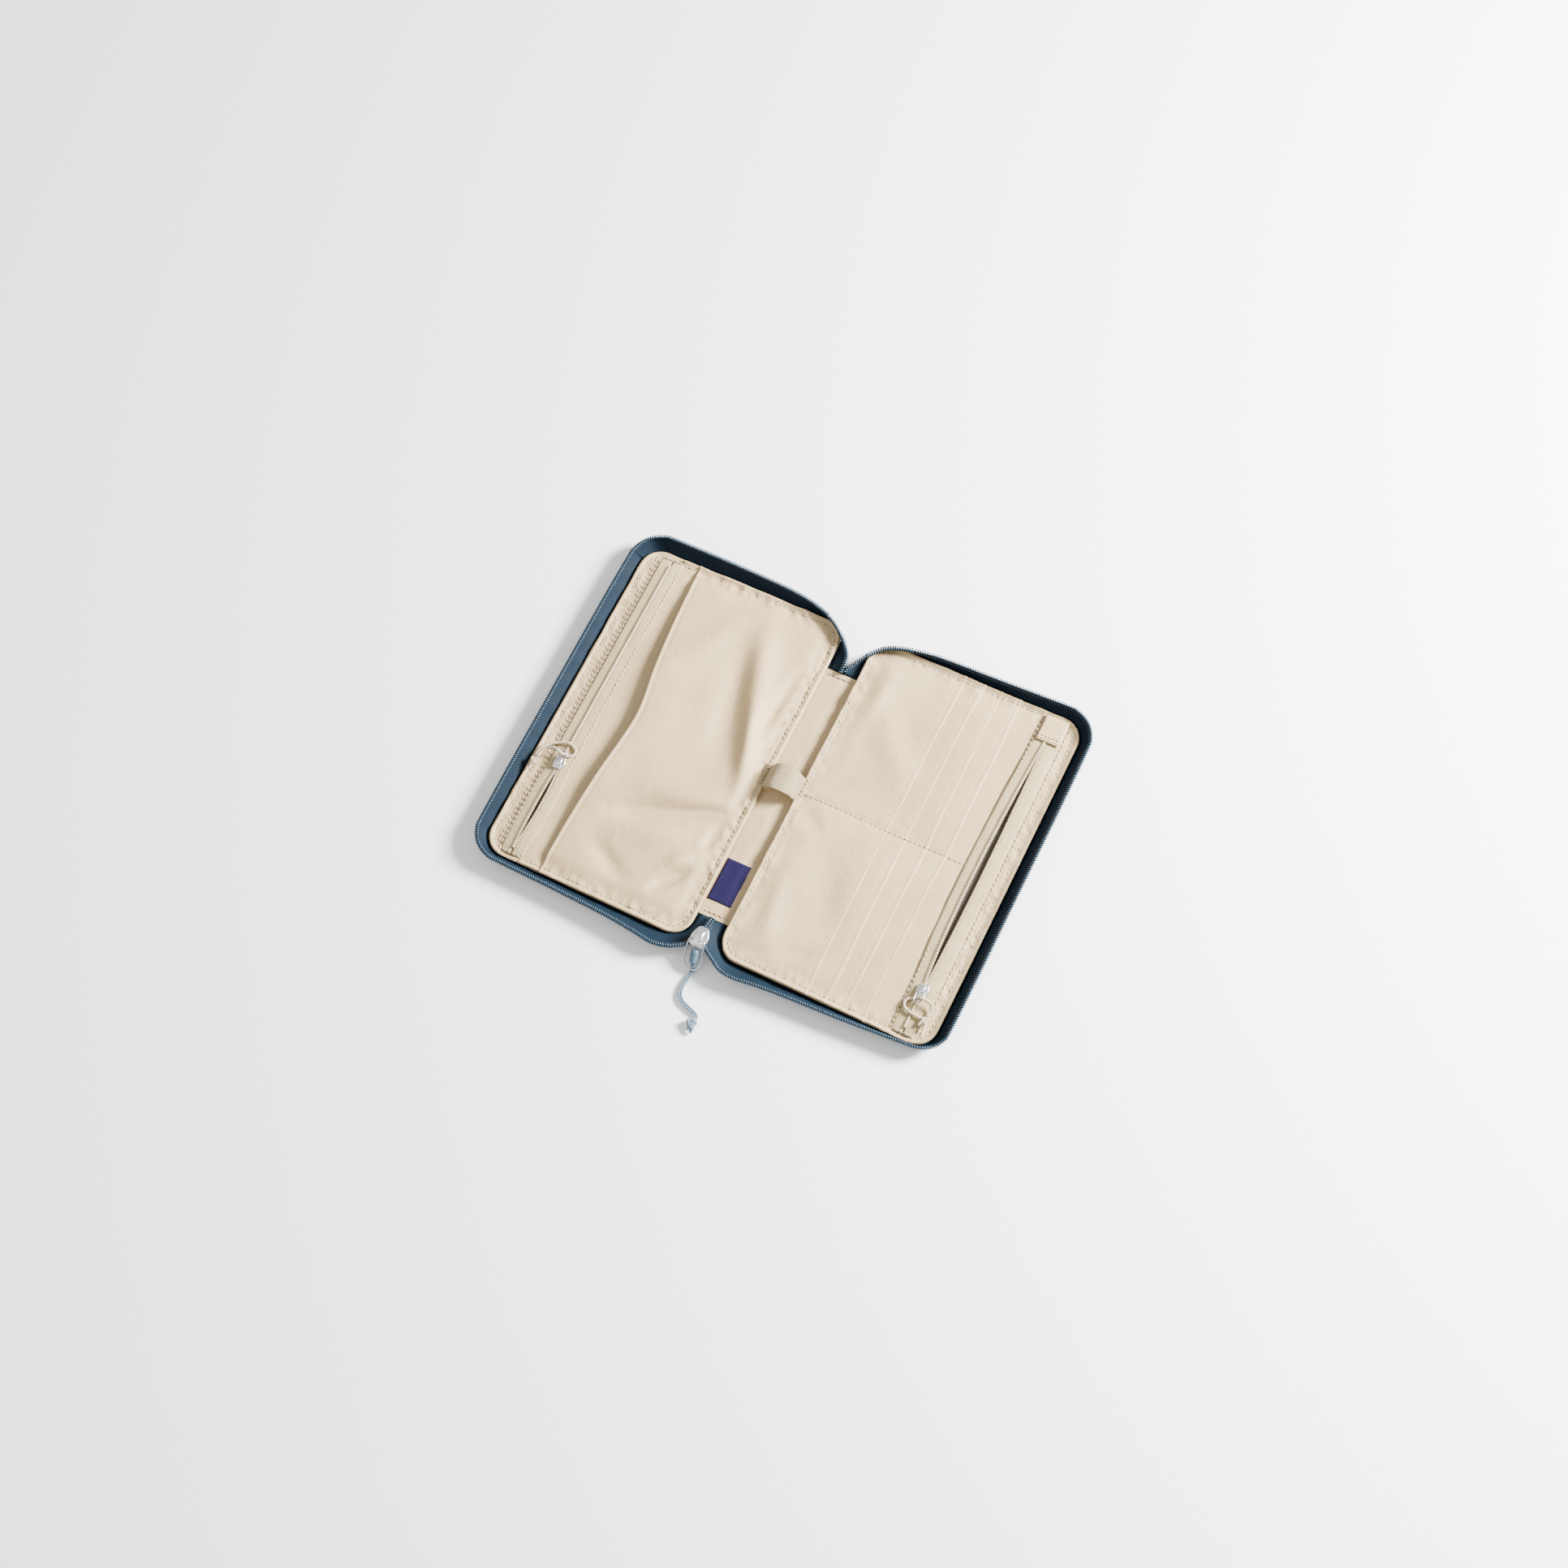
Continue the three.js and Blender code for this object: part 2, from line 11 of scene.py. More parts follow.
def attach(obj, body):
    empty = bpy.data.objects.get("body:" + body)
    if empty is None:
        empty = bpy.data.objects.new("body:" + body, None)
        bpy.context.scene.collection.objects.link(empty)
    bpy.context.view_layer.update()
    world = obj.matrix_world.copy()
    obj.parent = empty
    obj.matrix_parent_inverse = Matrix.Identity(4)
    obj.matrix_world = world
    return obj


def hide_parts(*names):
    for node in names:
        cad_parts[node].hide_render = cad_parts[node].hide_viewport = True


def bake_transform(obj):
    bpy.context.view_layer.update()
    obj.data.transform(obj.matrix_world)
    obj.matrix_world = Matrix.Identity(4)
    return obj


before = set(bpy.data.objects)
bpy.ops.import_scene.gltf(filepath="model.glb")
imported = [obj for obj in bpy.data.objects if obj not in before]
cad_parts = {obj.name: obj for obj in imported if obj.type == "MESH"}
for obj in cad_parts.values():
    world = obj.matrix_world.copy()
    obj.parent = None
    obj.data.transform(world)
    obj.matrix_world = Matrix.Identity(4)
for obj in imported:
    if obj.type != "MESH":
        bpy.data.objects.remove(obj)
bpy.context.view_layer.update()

# Camera: high over the wallet, turned so that the spine runs from the upper right to the lower left.
# It looks at the middle of the spine. All its angles are in degrees and its lengths in metres.
AZIMUTH, ELEVATION, ROLL = 41.27, 68.53, -15.58
DISTANCE = 1.240
scene = bpy.context.scene
camera_data = bpy.data.cameras.new("camera")
camera_data.lens = 53.86
camera_data.sensor_width = 36
camera_data.shift_x = 0.0006
camera_data.shift_y = 0.0031
camera = bpy.data.objects.new("camera", camera_data)
scene.collection.objects.link(camera)
turn, lift, roll = (math.radians(a) for a in (AZIMUTH, ELEVATION, ROLL))
sight = Vector((-math.sin(turn) * math.cos(lift), math.cos(turn) * math.cos(lift), -math.sin(lift)))
level_right = sight.cross(Vector((0, 0, 1))).normalized()
level_up = level_right.cross(sight)
right = level_right * math.cos(roll) + level_up * math.sin(roll)
up = level_up * math.cos(roll) - level_right * math.sin(roll)
axes = Matrix((right, up, -sight)).transposed().to_4x4()
camera.matrix_world = Matrix.Translation(-sight * DISTANCE) @ axes
scene.camera = camera

# Floor and light: a white table under a soft key light from the right, a weaker one opposite and a white
# sky. None of it belongs to the wallet.
floor_data = bpy.data.meshes.new("floor")
FLOOR_HALF, FLOOR_Z = 4.0, -0.0003
floor_data.from_pydata(
    [(sx * FLOOR_HALF, sy * FLOOR_HALF, FLOOR_Z) for sx, sy in ((-1, -1), (1, -1), (1, 1), (-1, 1))],
    [],
    [(0, 1, 2, 3)],
)
floor = bpy.data.objects.new("floor", floor_data)
scene.collection.objects.link(floor)
floor_look = bpy.data.materials.new("floor")
floor_look.use_nodes = True
floor_shader = floor_look.node_tree.nodes["Principled BSDF"]
floor_shader.inputs["Base Color"].default_value = (0.96, 0.96, 0.96, 1)
floor_shader.inputs["Roughness"].default_value = 0.9
floor_data.materials.append(floor_look)
for name, place, size, watts in (
    ("key", (0.95, 0.7, 0.68), 0.4, 150),
    ("fill", (-0.8, -0.7, 1.4), 1.6, 8),
):
    lamp_data = bpy.data.lights.new(name, "AREA")
    lamp_data.size = size
    lamp_data.energy = watts
    lamp = bpy.data.objects.new(name, lamp_data)
    lamp.location = place
    lamp.rotation_euler = (-Vector(place)).to_track_quat("-Z", "Y").to_euler()
    scene.collection.objects.link(lamp)
sky = bpy.data.worlds.new("sky")
sky.use_nodes = True
sky.node_tree.nodes["Background"].inputs["Color"].default_value = (1, 1, 1, 1)
sky.node_tree.nodes["Background"].inputs["Strength"].default_value = 0.85
scene.world = sky

# The round zip's cord: braided polyester, doubled. Its two strands leave the moulded sleeve, lie side by
# side in an S on the table, and end in an overhand knot. Points are in millimetres here and in every
# later section, and become metres in piece(). A shape is an array of points and a list of faces.
MM = 0.001
TAU = 2 * math.pi
SHARP = math.radians(80)


def piece(name, shape, look, crisp=False):
    """A mesh object made of one shape. Crisp keeps its rims out of its smooth shading."""
    points, faces = shape
    data = bpy.data.meshes.new(name)
    data.from_pydata((np.asarray(points, float) * MM).tolist(), [], faces)
    data.materials.append(look)
    data.polygons.foreach_set("use_smooth", [True] * len(data.polygons))
    if crisp:
        data.set_sharp_from_angle(angle=SHARP)
    data.update()
    made = bpy.data.objects.new(name, data)
    scene.collection.objects.link(made)
    return made


def belongs(made, body, slot, *nodes):
    """The piece rides on a body and hides the imported nodes that it stands for. Its slot is not used."""
    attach(made, body)
    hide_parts(*nodes)
    return made


def merged(shapes):
    """Several shapes as one."""
    points, faces, count = [], [], 0
    for some_points, some_faces in shapes:
        points.append(np.asarray(some_points, float))
        faces += [tuple(i + count for i in face) for face in some_faces]
        count += len(some_points)
    return np.concatenate(points), faces


def quads(rows, cols, first=0, wrap=False):
    """The faces of a grid of points, row by row. Wrap joins its last column to its first."""
    faces = []
    for row in range(rows - 1):
        for col in range(cols if wrap else cols - 1):
            a = first + row * cols + col
            b = first + row * cols + (col + 1) % cols
            faces.append((a, b, b + cols, a + cols))
    return faces


def smooth_line(points, step, closed=False):
    """Points every step along a smooth line through the given ones."""
    given = np.array(points, float)
    count = len(given)
    spans = range(count if closed else count - 1)
    line = []
    for i in spans:
        p1, p2 = given[i], given[(i + 1) % count]
        p0 = given[i - 1] if closed or i else 2 * p1 - p2
        p3 = given[(i + 2) % count] if closed or i + 2 < count else 2 * p2 - p1
        for t in np.linspace(0, 1, 24, endpoint=False):
            a, b, c = 2 * p1, p2 - p0, 2 * p0 - 5 * p1 + 4 * p2 - p3
            d = 3 * p1 - p0 - 3 * p2 + p3
            line.append((a + b * t + c * t * t + d * t**3) / 2)
    line.append(given[0] if closed else given[-1])
    line = np.array(line)
    length = np.concatenate([[0], np.cumsum(np.linalg.norm(np.diff(line, axis=0), axis=1))])
    number = max(2, round(length[-1] / step))
    at = np.linspace(0, length[-1], number + 1)
    even = np.stack([np.interp(at, length, line[:, k]) for k in range(line.shape[1])], axis=1)
    return even[:-1] if closed else even


def frames_along(line, closed=False, upright=None):
    """At each point of a line: its direction and two directions across it."""
    ahead = np.roll(line, -1, axis=0) - np.roll(line, 1, axis=0)
    if not closed:
        ahead[0] = line[1] - line[0]
        ahead[-1] = line[-1] - line[-2]
    ahead /= np.linalg.norm(ahead, axis=1)[:, None]
    if upright is not None:
        side = np.cross(np.broadcast_to(upright, ahead.shape), ahead)
        side /= np.linalg.norm(side, axis=1)[:, None]
        return ahead, side, np.cross(ahead, side)
    side = [np.cross(ahead[0], [0.13, 0.21, 0.97])]
    for direction in ahead[1:]:
        side.append(side[-1] - direction * (side[-1] @ direction))
    side = np.array(side)
    side /= np.linalg.norm(side, axis=1)[:, None]
    return ahead, side, np.cross(ahead, side)


def tube(line, radius, sides=8, closed=False):
    """A round tube along a line. Its radius is a number or one per point."""
    line = np.asarray(line, float)
    radius = np.broadcast_to(radius, len(line))
    _, across, other = frames_along(line, closed)
    angle = np.arange(sides) * TAU / sides
    ring = np.cos(angle)[None, :, None] * across[:, None] + np.sin(angle)[None, :, None] * other[:, None]
    points = (line[:, None] + ring * radius[:, None, None]).reshape(-1, 3)
    faces = quads(len(line), sides, wrap=True)
    last = (len(line) - 1) * sides
    if closed:
        near = points[None, :sides] - points[last:, None]
        shift = int(np.argmin(np.linalg.norm(near[0], axis=1)))
        for i in range(sides):
            a, b = last + i, last + (i + 1) % sides
            faces.append((a, b, (i + 1 + shift) % sides, (i + shift) % sides))
    else:
        faces += [tuple(range(sides))[::-1], tuple(range(last, last + sides))]
    return points, faces


class Wire:
    """One socket of a material."""

    def __init__(self, tree, socket=None):
        self.tree, self.socket = tree, socket

    def node(self, kind, settings, inputs, output=0):
        """Adds a node: its settings first, then its sockets' values or links."""
        made = self.tree.nodes.new(kind)
        for key, value in settings.items():
            setattr(made, key, value)
        for key, value in inputs.items():
            if isinstance(value, Wire):
                self.tree.links.new(value.socket, made.inputs[key])
            else:
                made.inputs[key].default_value = value
        return Wire(self.tree, made.outputs[output])

    def math(self, operation, *values):
        """A Math node on this and other values."""
        return self.node("ShaderNodeMath", {"operation": operation}, dict(enumerate(values)))

    def __add__(self, other):
        return self.math("ADD", self, other)

    def __sub__(self, other):
        return self.math("SUBTRACT", self, other)

    def __rsub__(self, other):
        return self.math("SUBTRACT", other, self)

    def __mul__(self, other):
        return self.math("MULTIPLY", self, other)

    __radd__ = __add__
    __rmul__ = __mul__

    def wave(self, pitch):
        """0 to 1 and back once every pitch."""
        return self.math("SINE", self * (TAU / pitch)) * 0.5 + 0.5

    def noise(self, scale, detail=2.0):
        """Cloudy noise at this place."""
        return self.node("ShaderNodeTexNoise", {}, {"Vector": self, "Scale": scale, "Detail": detail})

    def parts(self):
        """Its X, Y and Z."""
        return [self.node("ShaderNodeSeparateXYZ", {}, {"Vector": self}, axis) for axis in "XYZ"]

    def mix(self, low, high):
        """The colour between two, by this share."""
        return self.node("ShaderNodeMix", {"data_type": "RGBA"}, {0: self, 6: low, 7: high}, 2)


def material(name, roughness, metallic=0.0, sheen=0.0, specular=0.5):
    """A new material, its shader and a Wire of the object's coordinates."""
    made = bpy.data.materials.new(name)
    made.use_nodes = True
    shader = made.node_tree.nodes["Principled BSDF"]
    shader.inputs["Roughness"].default_value = roughness
    shader.inputs["Metallic"].default_value = metallic
    shader.inputs["Sheen Weight"].default_value = sheen
    shader.inputs["Specular IOR Level"].default_value = specular
    place = Wire(made.node_tree).node("ShaderNodeTexCoord", {}, {}, "Object")
    return made, shader, place


def finish_look(shader, colour, height, distance):
    """Joins a colour and a surface relief to the shader."""
    colour.tree.links.new(colour.socket, shader.inputs["Base Color"])
    bump = {"Strength": 1.0, "Distance": distance, "Height": height}
    relief = height.node("ShaderNodeBump", {}, bump)
    relief.tree.links.new(relief.socket, shader.inputs["Normal"])


def braid(name, dark, light, fleck, pitch):
    """Round cord: slanted strands, with flecks where two colours are braided together."""
    made, shader, place = material(name, 0.8, sheen=0.25, specular=0.25)
    x, y, z = place.parts()
    strands = (x + y + z * 0.8).wave(pitch) * (x - y + z * 0.6).wave(pitch)
    share = strands * (1 - fleck) + place.noise(1500.0) * fleck
    finish_look(shader, share.mix((*dark, 1), (*light, 1)), strands + place.noise(2500.0) * 0.4, 0.00022)
    return made


BLUE_CORD = braid("blue_cord", (0.035, 0.075, 0.12), (0.34, 0.43, 0.50), 0.35, 0.0016)
KNOT_LOOP = [
    (math.sin(t) + 2 * math.sin(2 * t), math.cos(t) - 2 * math.cos(2 * t), -math.sin(3 * t))
    for t in np.linspace(0, TAU, 16, endpoint=False)
]


def knot(centre, size, strand, tails):
    """An overhand knot drawn tight, with its loose tails."""
    middle = np.array(centre, float)
    line = smooth_line([middle + size * np.array(p) * (1, 1, 0.9) for p in KNOT_LOOP], 0.5, True)
    shapes = [tube(line, strand, 8, True)]
    for tail in tails:
        shapes.append(tube(smooth_line([middle + np.array(p) for p in tail], 0.5), strand, 8))
    return merged(shapes)


SLEEVE_AXIS = np.array([0.12, -0.86, -0.5])
SLEEVE_AXIS /= np.linalg.norm(SLEEVE_AXIS)
PIVOT = np.array([0, -94.8, 10.6])
SLEEVE_MIDDLE = PIVOT + (1.3, -8.2, -4.6)
SLEEVE_LENGTH = 7.4
main_exit = SLEEVE_MIDDLE + SLEEVE_AXIS * (SLEEVE_LENGTH / 2 + 0.3)
MAIN_ROUTE = [
    tuple(main_exit),
    (2.6, -109.6, 1.6),
    (2.1, -113.5, 1.2),
    (1.7, -117.5, 1.2),
    (2.0, -121.5, 1.2),
    (3.8, -124.9, 1.2),
    (7.4, -127.0, 1.2),
    (11.4, -128.2, 1.2),
    (14.6, -129.4, 1.2),
    (16.2, -131.4, 1.2),
]


main_line = smooth_line(MAIN_ROUTE, 0.6)
_, across, _ = frames_along(main_line, upright=(0, 0, 1))
main_cord = piece(
    "main_cord",
    merged(tube(main_line + across * shift, 0.62, 10) for shift in (-0.56, 0.56)),
    BLUE_CORD,
)
belongs(main_cord, "main_pull", "main_cord", "main_pull_cord")
main_knot = piece(
    "main_knot",
    knot(
        (15.2, -134.6, 2.3),
        0.78,
        0.85,
        [[(0.8, 3.2, -1.1), (0.3, 1.4, 0.2), (-0.4, -1.2, 0.4), (0.4, -3.9, -0.6)],
         [(1.0, 1.8, 0.2), (1.7, -1.4, 0.3), (1.6, -4.4, -1.0)]],
    ),
    BLUE_CORD,
)
belongs(main_knot, "main_pull", "main_cord", "main_pull_knot")

# The two pocket zips' cords: thin cream braid. Each is one strand that comes out of its knot, over and
# under its slider's wire eye, and back to the knot.
CREAM_CORD = braid("cream_cord", (0.40, 0.31, 0.18), (0.68, 0.58, 0.41), 0.3, 0.0011)
COIN_AT = np.array([-114.4, -38.0, 0])
NOTE_AT = np.array([115.0, -70.0, 0])
COIN_ROUTE = [
    (-12.5, -2.0, 5.9),
    (-12.0, 1.4, 5.6),
    (-9.6, 4.4, 6.3),
    (-6.0, 5.6, 7.8),
    (-2.1, 4.6, 8.9),
    (0, 4.6, 7.2),
    (2.2, 5.0, 5.4),
    (4.6, 6.6, 5.1),
    (4.9, 9.2, 5.1),
    (2.6, 11.2, 5.4),
    (-0.2, 11.6, 5.9),
    (-3.4, 10.9, 5.5),
    (-6.6, 9.6, 5.1),
    (-9.6, 7.8, 4.9),
    (-12.4, 4.8, 4.9),
    (-13.9, 1.2, 5.0),
    (-13.9, -2.0, 5.3),
]
NOTE_ROUTE = [
    (8.3, -11.0, 5.9),
    (8.9, -8.2, 5.7),
    (8.2, -5.4, 6.7),
    (5.4, -4.0, 8.0),
    (2.1, -4.3, 8.9),
    (0, -4.6, 7.2),
    (-2.2, -5.2, 5.4),
    (-4.9, -6.6, 5.1),
    (-5.6, -9.2, 5.1),
    (-3.8, -11.6, 5.4),
    (-0.6, -12.6, 5.9),
    (2.8, -12.9, 5.7),
    (5.7, -13.2, 5.4),
]
POCKET_CORD_R = 0.8
for word, at, route, knot_at, tails in (
    ("coin", COIN_AT, COIN_ROUTE, (-13.0, -4.6, 6.0),
     [[(0.4, 1.2, 0.4), (-0.6, -1.6, 0.2), (-0.3, -5.0, -0.6)]]),
    ("note", NOTE_AT, NOTE_ROUTE, (8.2, -13.6, 6.0),
     [[(0.3, 1.0, 0.4), (0.9, -1.8, 0.1), (0.4, -4.6, -0.6)],
      [(-0.6, 0.8, 0.5), (-1.6, -1.4, 0.4), (-2.4, -3.4, -0.2)]]),
):
    line = smooth_line([at + np.array(p) for p in route], 0.5)
    cord = piece(f"{word}_cord", tube(line, POCKET_CORD_R, 10), CREAM_CORD)
    belongs(cord, f"{word}_pull", "pocket_cord", f"{word}_pull_cord")
    ball = piece(f"{word}_knot", knot(at + np.array(knot_at), 0.6, 0.75, tails), CREAM_CORD)
    belongs(ball, f"{word}_pull", "pocket_cord", f"{word}_pull_knot")

# Outer cover: one blue cloth over both halves and the spine, turned up all round its edge. It is in two
# pieces that meet unseen down the middle of the spine. X counts outwards
# from the spine in this and the next sections, and side is -1 for the left half and 1 for the right.
PANEL_IN, PANEL_OUT, PANEL_END, CORNER = 9.0, 131.0, 96.7, 12.0


def inset(y, end, radius):
    """How far a rounded corner draws a side in at this y."""
    over = np.clip(np.abs(y) - (end - radius), 0, radius)
    return radius - np.sqrt(np.maximum(radius**2 - over**2, 0))


def ruffle(x, y, size, seed):
    """Smooth random waves of about that size, -1 to 1."""
    flat = np.stack(np.broadcast_arrays(x / size, y / size), -1).reshape(-1, 2)
    values = [noise.noise((p[0], p[1], seed)) for p in flat]
    return np.array(values).reshape(np.broadcast(x, y).shape) * 1.6


def edge_distance(x, y):
    """How far a point lies inside the rounded outline of a half's panel."""
    middle = (PANEL_IN + PANEL_OUT) / 2
    qx = np.abs(x - middle) - (PANEL_OUT - PANEL_IN) / 2 + CORNER
    qy = np.abs(y) - PANEL_END + CORNER
    outside = np.hypot(np.maximum(qx, 0), np.maximum(qy, 0))
    return CORNER - outside - np.minimum(np.maximum(qx, qy), 0)


def rows_of(end, radius, step):
    """Values of y from -end to end, closer together where the corners turn."""
    inner = end - radius
    middle = np.linspace(-inner, inner, max(2, round(2 * inner / step)))
    bend = inner + radius * np.sin(np.linspace(0, math.pi / 2, 12))[1:]
    return np.concatenate([-bend[::-1], middle, bend])


def bends(made, side, slot, *nodes):
    """Bakes the piece's transform into its mesh and hides the imported nodes that it stands for. Its side is
    not used.
    """
    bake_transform(made)
    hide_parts(*nodes)
    return made


def cloth(top, thick):
    """A sheet whose upper side is a grid of points, seen anticlockwise from above."""
    rows, cols = top.shape[:2]
    count = rows * cols
    under = top - np.array([0, 0, thick])
    faces = quads(rows, cols)
    faces += [face[::-1] for face in quads(rows, cols, count)]
    rim = list(range(cols))
    rim += [row * cols + cols - 1 for row in range(1, rows)]
    rim += [(rows - 1) * cols + col for col in range(cols - 2, -1, -1)]
    rim += [row * cols for row in range(rows - 2, 0, -1)]
    for a, b in zip(rim, rim[1:] + rim[:1]):
        faces.append((a, a + count, b + count, b))
    return np.concatenate([top.reshape(-1, 3), under.reshape(-1, 3)]), faces


def woven(name, dark, light, pattern, depth, roughness=0.8, sheen=0.2, specular=0.3):
    """Cloth: a pattern of threads, fine fuzz and a faint unevenness of colour."""
    made, shader, place = material(name, roughness, sheen=sheen, specular=specular)
    threads = pattern(*place.parts())
    fuzz = place.noise(1400.0)
    cloud = place.noise(38.0, 3.0)
    share = threads * 0.28 + fuzz * 0.42 + cloud * 0.45 - 0.08
    crease = place.noise(170.0, 2.0)
    height = threads * 0.55 + fuzz * 1.1 + crease * 2.2
    finish_look(shader, share.mix((*dark, 1), (*light, 1)), height, depth)
    return made


def plain(x, y, z):
    """Plain weave: threads over and under both ways."""
    return (x + z * 0.7).wave(0.0008) * (y + z * 0.7).wave(0.0008)


COVER = woven("cover", (0.008, 0.022, 0.038), (0.024, 0.054, 0.084), plain, 0.00009, 0.85, 0.0, 0.12)
COVER_RIM = 1.5
SPINE_NOTCH = [(-98.4, 23), (-94, 13.5), (-90, 9.6), (-88, 8.0), (-86, 5.0), (-84, 0), (0, 0),
               (76, 0), (78, 5.0), (80, 7.4), (86, 9.0), (90, 10.6), (94, 14.5), (98.4, 24)]


def cover_height(x, y):
    """The top of the cover: flat, and turned up round its outer edge."""
    away = np.where(x < PANEL_IN + CORNER, PANEL_END - np.abs(y), edge_distance(x, y))
    away = np.where((np.abs(y) < 84) & (x < 60), 10, away) + COVER_RIM
    turn_up = np.clip(1 - away / 2.2, 0, 1)
    return 0.72 + 1.9 * (1 - np.sqrt(1 - turn_up**2 * 0.98)) + 0.05 * ruffle(x, y, 30, 8.0)


for side, word in ((-1, "left"), (1, "right")):
    end, radius = PANEL_END + COVER_RIM, CORNER + COVER_RIM
    y = rows_of(end, radius, 3.0)
    y = np.unique(np.concatenate([y, np.linspace(76, 92, 9), np.linspace(-92, -83, 8)]))
    low = np.interp(y, *zip(*SPINE_NOTCH))
    high = PANEL_OUT + COVER_RIM - inset(y, end, radius)
    share = [np.linspace(0, 0.12, 12), np.linspace(0.12, 0.97, 26)[1:], np.linspace(0.97, 1, 9)[1:]]
    share = np.concatenate(share)
    x = low[:, None] + (high - low)[:, None] * share
    top = np.stack([side * x, np.broadcast_to(y[:, None], x.shape), cover_height(x, y[:, None])], -1)
    cover = piece(f"{word}_outer_cover", cloth(top[:, ::side], 0.7), COVER, True)
    nodes = [f"{word}_cover"] + (["spine_cover"] if side < 0 else [])
    bends(cover, side, "cover_fabric", *nodes)

# Lining: beige twill over a stiff board in each half, sewn to the cover round its turned edge, and a
# strip of it along the spine between two hems. Each side of the strip tucks
# under the panel's edge. Beside the seams the cloth puckers.


def twill(x, y, z):
    """Twill weave: fine slanted lines."""
    return (x + y * 0.62 + z * 0.4).wave(0.0006)


LINING = woven("lining", (0.31, 0.205, 0.094), (0.64, 0.485, 0.272), twill, 0.00011, 0.46, 0.05)
BOARD_TOP = 2.1
PANEL_TOP = 2.65


def puckers(x, y, seed):
    """The gathered look beside a seam: short waves along it that die away inwards."""
    away = edge_distance(x, y)
    near = np.exp(-(((away - 4.2) / 2.6) ** 2))
    wide = np.exp(-((away / 10) ** 2)) * ruffle(x, y, 11, seed + 5) * 0.8
    return near * ruffle(x, y, 4.0, seed) + wide


TUCK_DEPTH, TUCK_REACH = 0.9, 8.0


def rolled_edge(x, y):
    """The turned edge inside the tape, the groove of its seam, and the tucked corners by the spine."""
    away = edge_distance(x, y)
    tuck = TUCK_DEPTH * np.exp(-((x - 13) ** 2 + (np.abs(y) - 92) ** 2) / TUCK_REACH**2)
    return 0.75 * np.exp(-(((away - 0.8) / 1.1) ** 2)) - 0.3 * np.exp(-(((away - 3.3) / 0.8) ** 2)) - tuck


def lining_height(x, y):
    """The top of a panel's lining, never below its stiff board."""
    return np.maximum(PANEL_TOP + rolled_edge(x, y) + puckers(x, y, 1.0) * 0.6, BOARD_TOP + 0.15)


def half_sheet(side, inner, outer, height, step=1.5, margin=0.0, thick=0.25):
    """A layer of a half between two lines, trimmed to the panel's rounded outline less a margin."""
    end, radius = PANEL_END - margin, CORNER - margin
    y = rows_of(end, radius, step)
    curve = inset(y, end, radius)
    low = np.maximum(inner(y) if callable(inner) else inner, PANEL_IN + margin + curve)
    high = np.minimum(outer(y) if callable(outer) else outer, PANEL_OUT - margin - curve)
    cols = max(3, round((np.max(high) - np.min(low)) / step))
    share = np.linspace(0, 1, cols)
    share = share * 0.86 + 0.07 * (1 - np.cos(share * math.pi))
    x = low[:, None] + (high - low)[:, None] * share
    top = np.stack([side * x, np.broadcast_to(y[:, None], x.shape), height(x, y[:, None])], -1)
    return cloth(top[:, ::side], thick)


HEM_BOTTOM, HEM_TOP = -80.0, 71.5
for side, word in ((-1, "left"), (1, "right")):
    panel = piece(
        f"{word}_panel_lining",
        half_sheet(side, PANEL_IN, PANEL_OUT, lining_height, 1.6, 0.0, 0.4),
        LINING,
    )
    belongs(panel, f"{word}_half", "lining_fabric", f"{word}_lining")
    y = np.linspace(HEM_BOTTOM, HEM_TOP, 100)
    x = np.linspace(0, 10.3, 16)
    grid_x, grid_y = np.meshgrid(x, y)
    near_hem = np.minimum(grid_y - HEM_BOTTOM, HEM_TOP - grid_y)
    roll, groove = np.exp(-(((near_hem - 0.7) / 0.9) ** 2)), np.exp(-(((near_hem - 2.6) / 0.7) ** 2))
    z = 1.25 + 0.25 * roll - 0.15 * groove
    z += np.clip(1 - grid_x / 6, 0, 1) * (0.3 * ruffle(grid_x * side, grid_y, 9, 9.0) + 0.25)
    z -= 0.1 * np.clip((grid_x - 7.8) / 1.2, 0, 1)
    top = np.stack([side * grid_x, grid_y, z], -1)
    strip = piece(f"{word}_spine_lining", cloth(top[:, ::side], 0.3), LINING, True)
    bends(strip, side, "lining_fabric", *(["spine_lining"] if side < 0 else []))

# The round zip of each half: dark tape standing on the panel's edge, with a row of coil teeth along
# its upper edge. Both come in to the spine at either end.
# The lists give the tape's foot and the coil above it as (x, y, z), going round the half.


def ribbed(x, y, z):
    """Fine ribs across a tape."""
    return (x * 0.7 + y * 0.7 + z * 0.2).wave(0.0007)


TAPE = woven("main_tape", (0.002, 0.006, 0.012), (0.007, 0.018, 0.030), ribbed, 0.00008, 0.7, 0.0, 0.12)


def plastic(name, dark, light, roughness):
    """Moulded or drawn plastic with a faint unevenness."""
    made, shader, place = material(name, roughness)
    share = place.noise(450.0)
    finish_look(shader, share.mix((*dark, 1), (*light, 1)), place.noise(2200.0), 0.00002)
    return made


TEETH = plastic("main_teeth", (0.005, 0.016, 0.03), (0.02, 0.048, 0.076), 0.3)


def copies(shape, origins, xs, ys, zs):
    """A small shape set at each origin, turned to that origin's three directions."""
    points, faces = shape
    points = np.asarray(points, float)
    return merged(
        (o + points[:, :1] * x + points[:, 1:2] * y + points[:, 2:] * z, faces)
        for o, x, y, z in zip(origins, xs, ys, zs)
    )


OUTER_ARC = [math.radians(a) for a in (15, 30, 45, 60, 75)]
FOOT_Z, COIL_Z = 1.4, 8
FOOT_OUT = 0.25


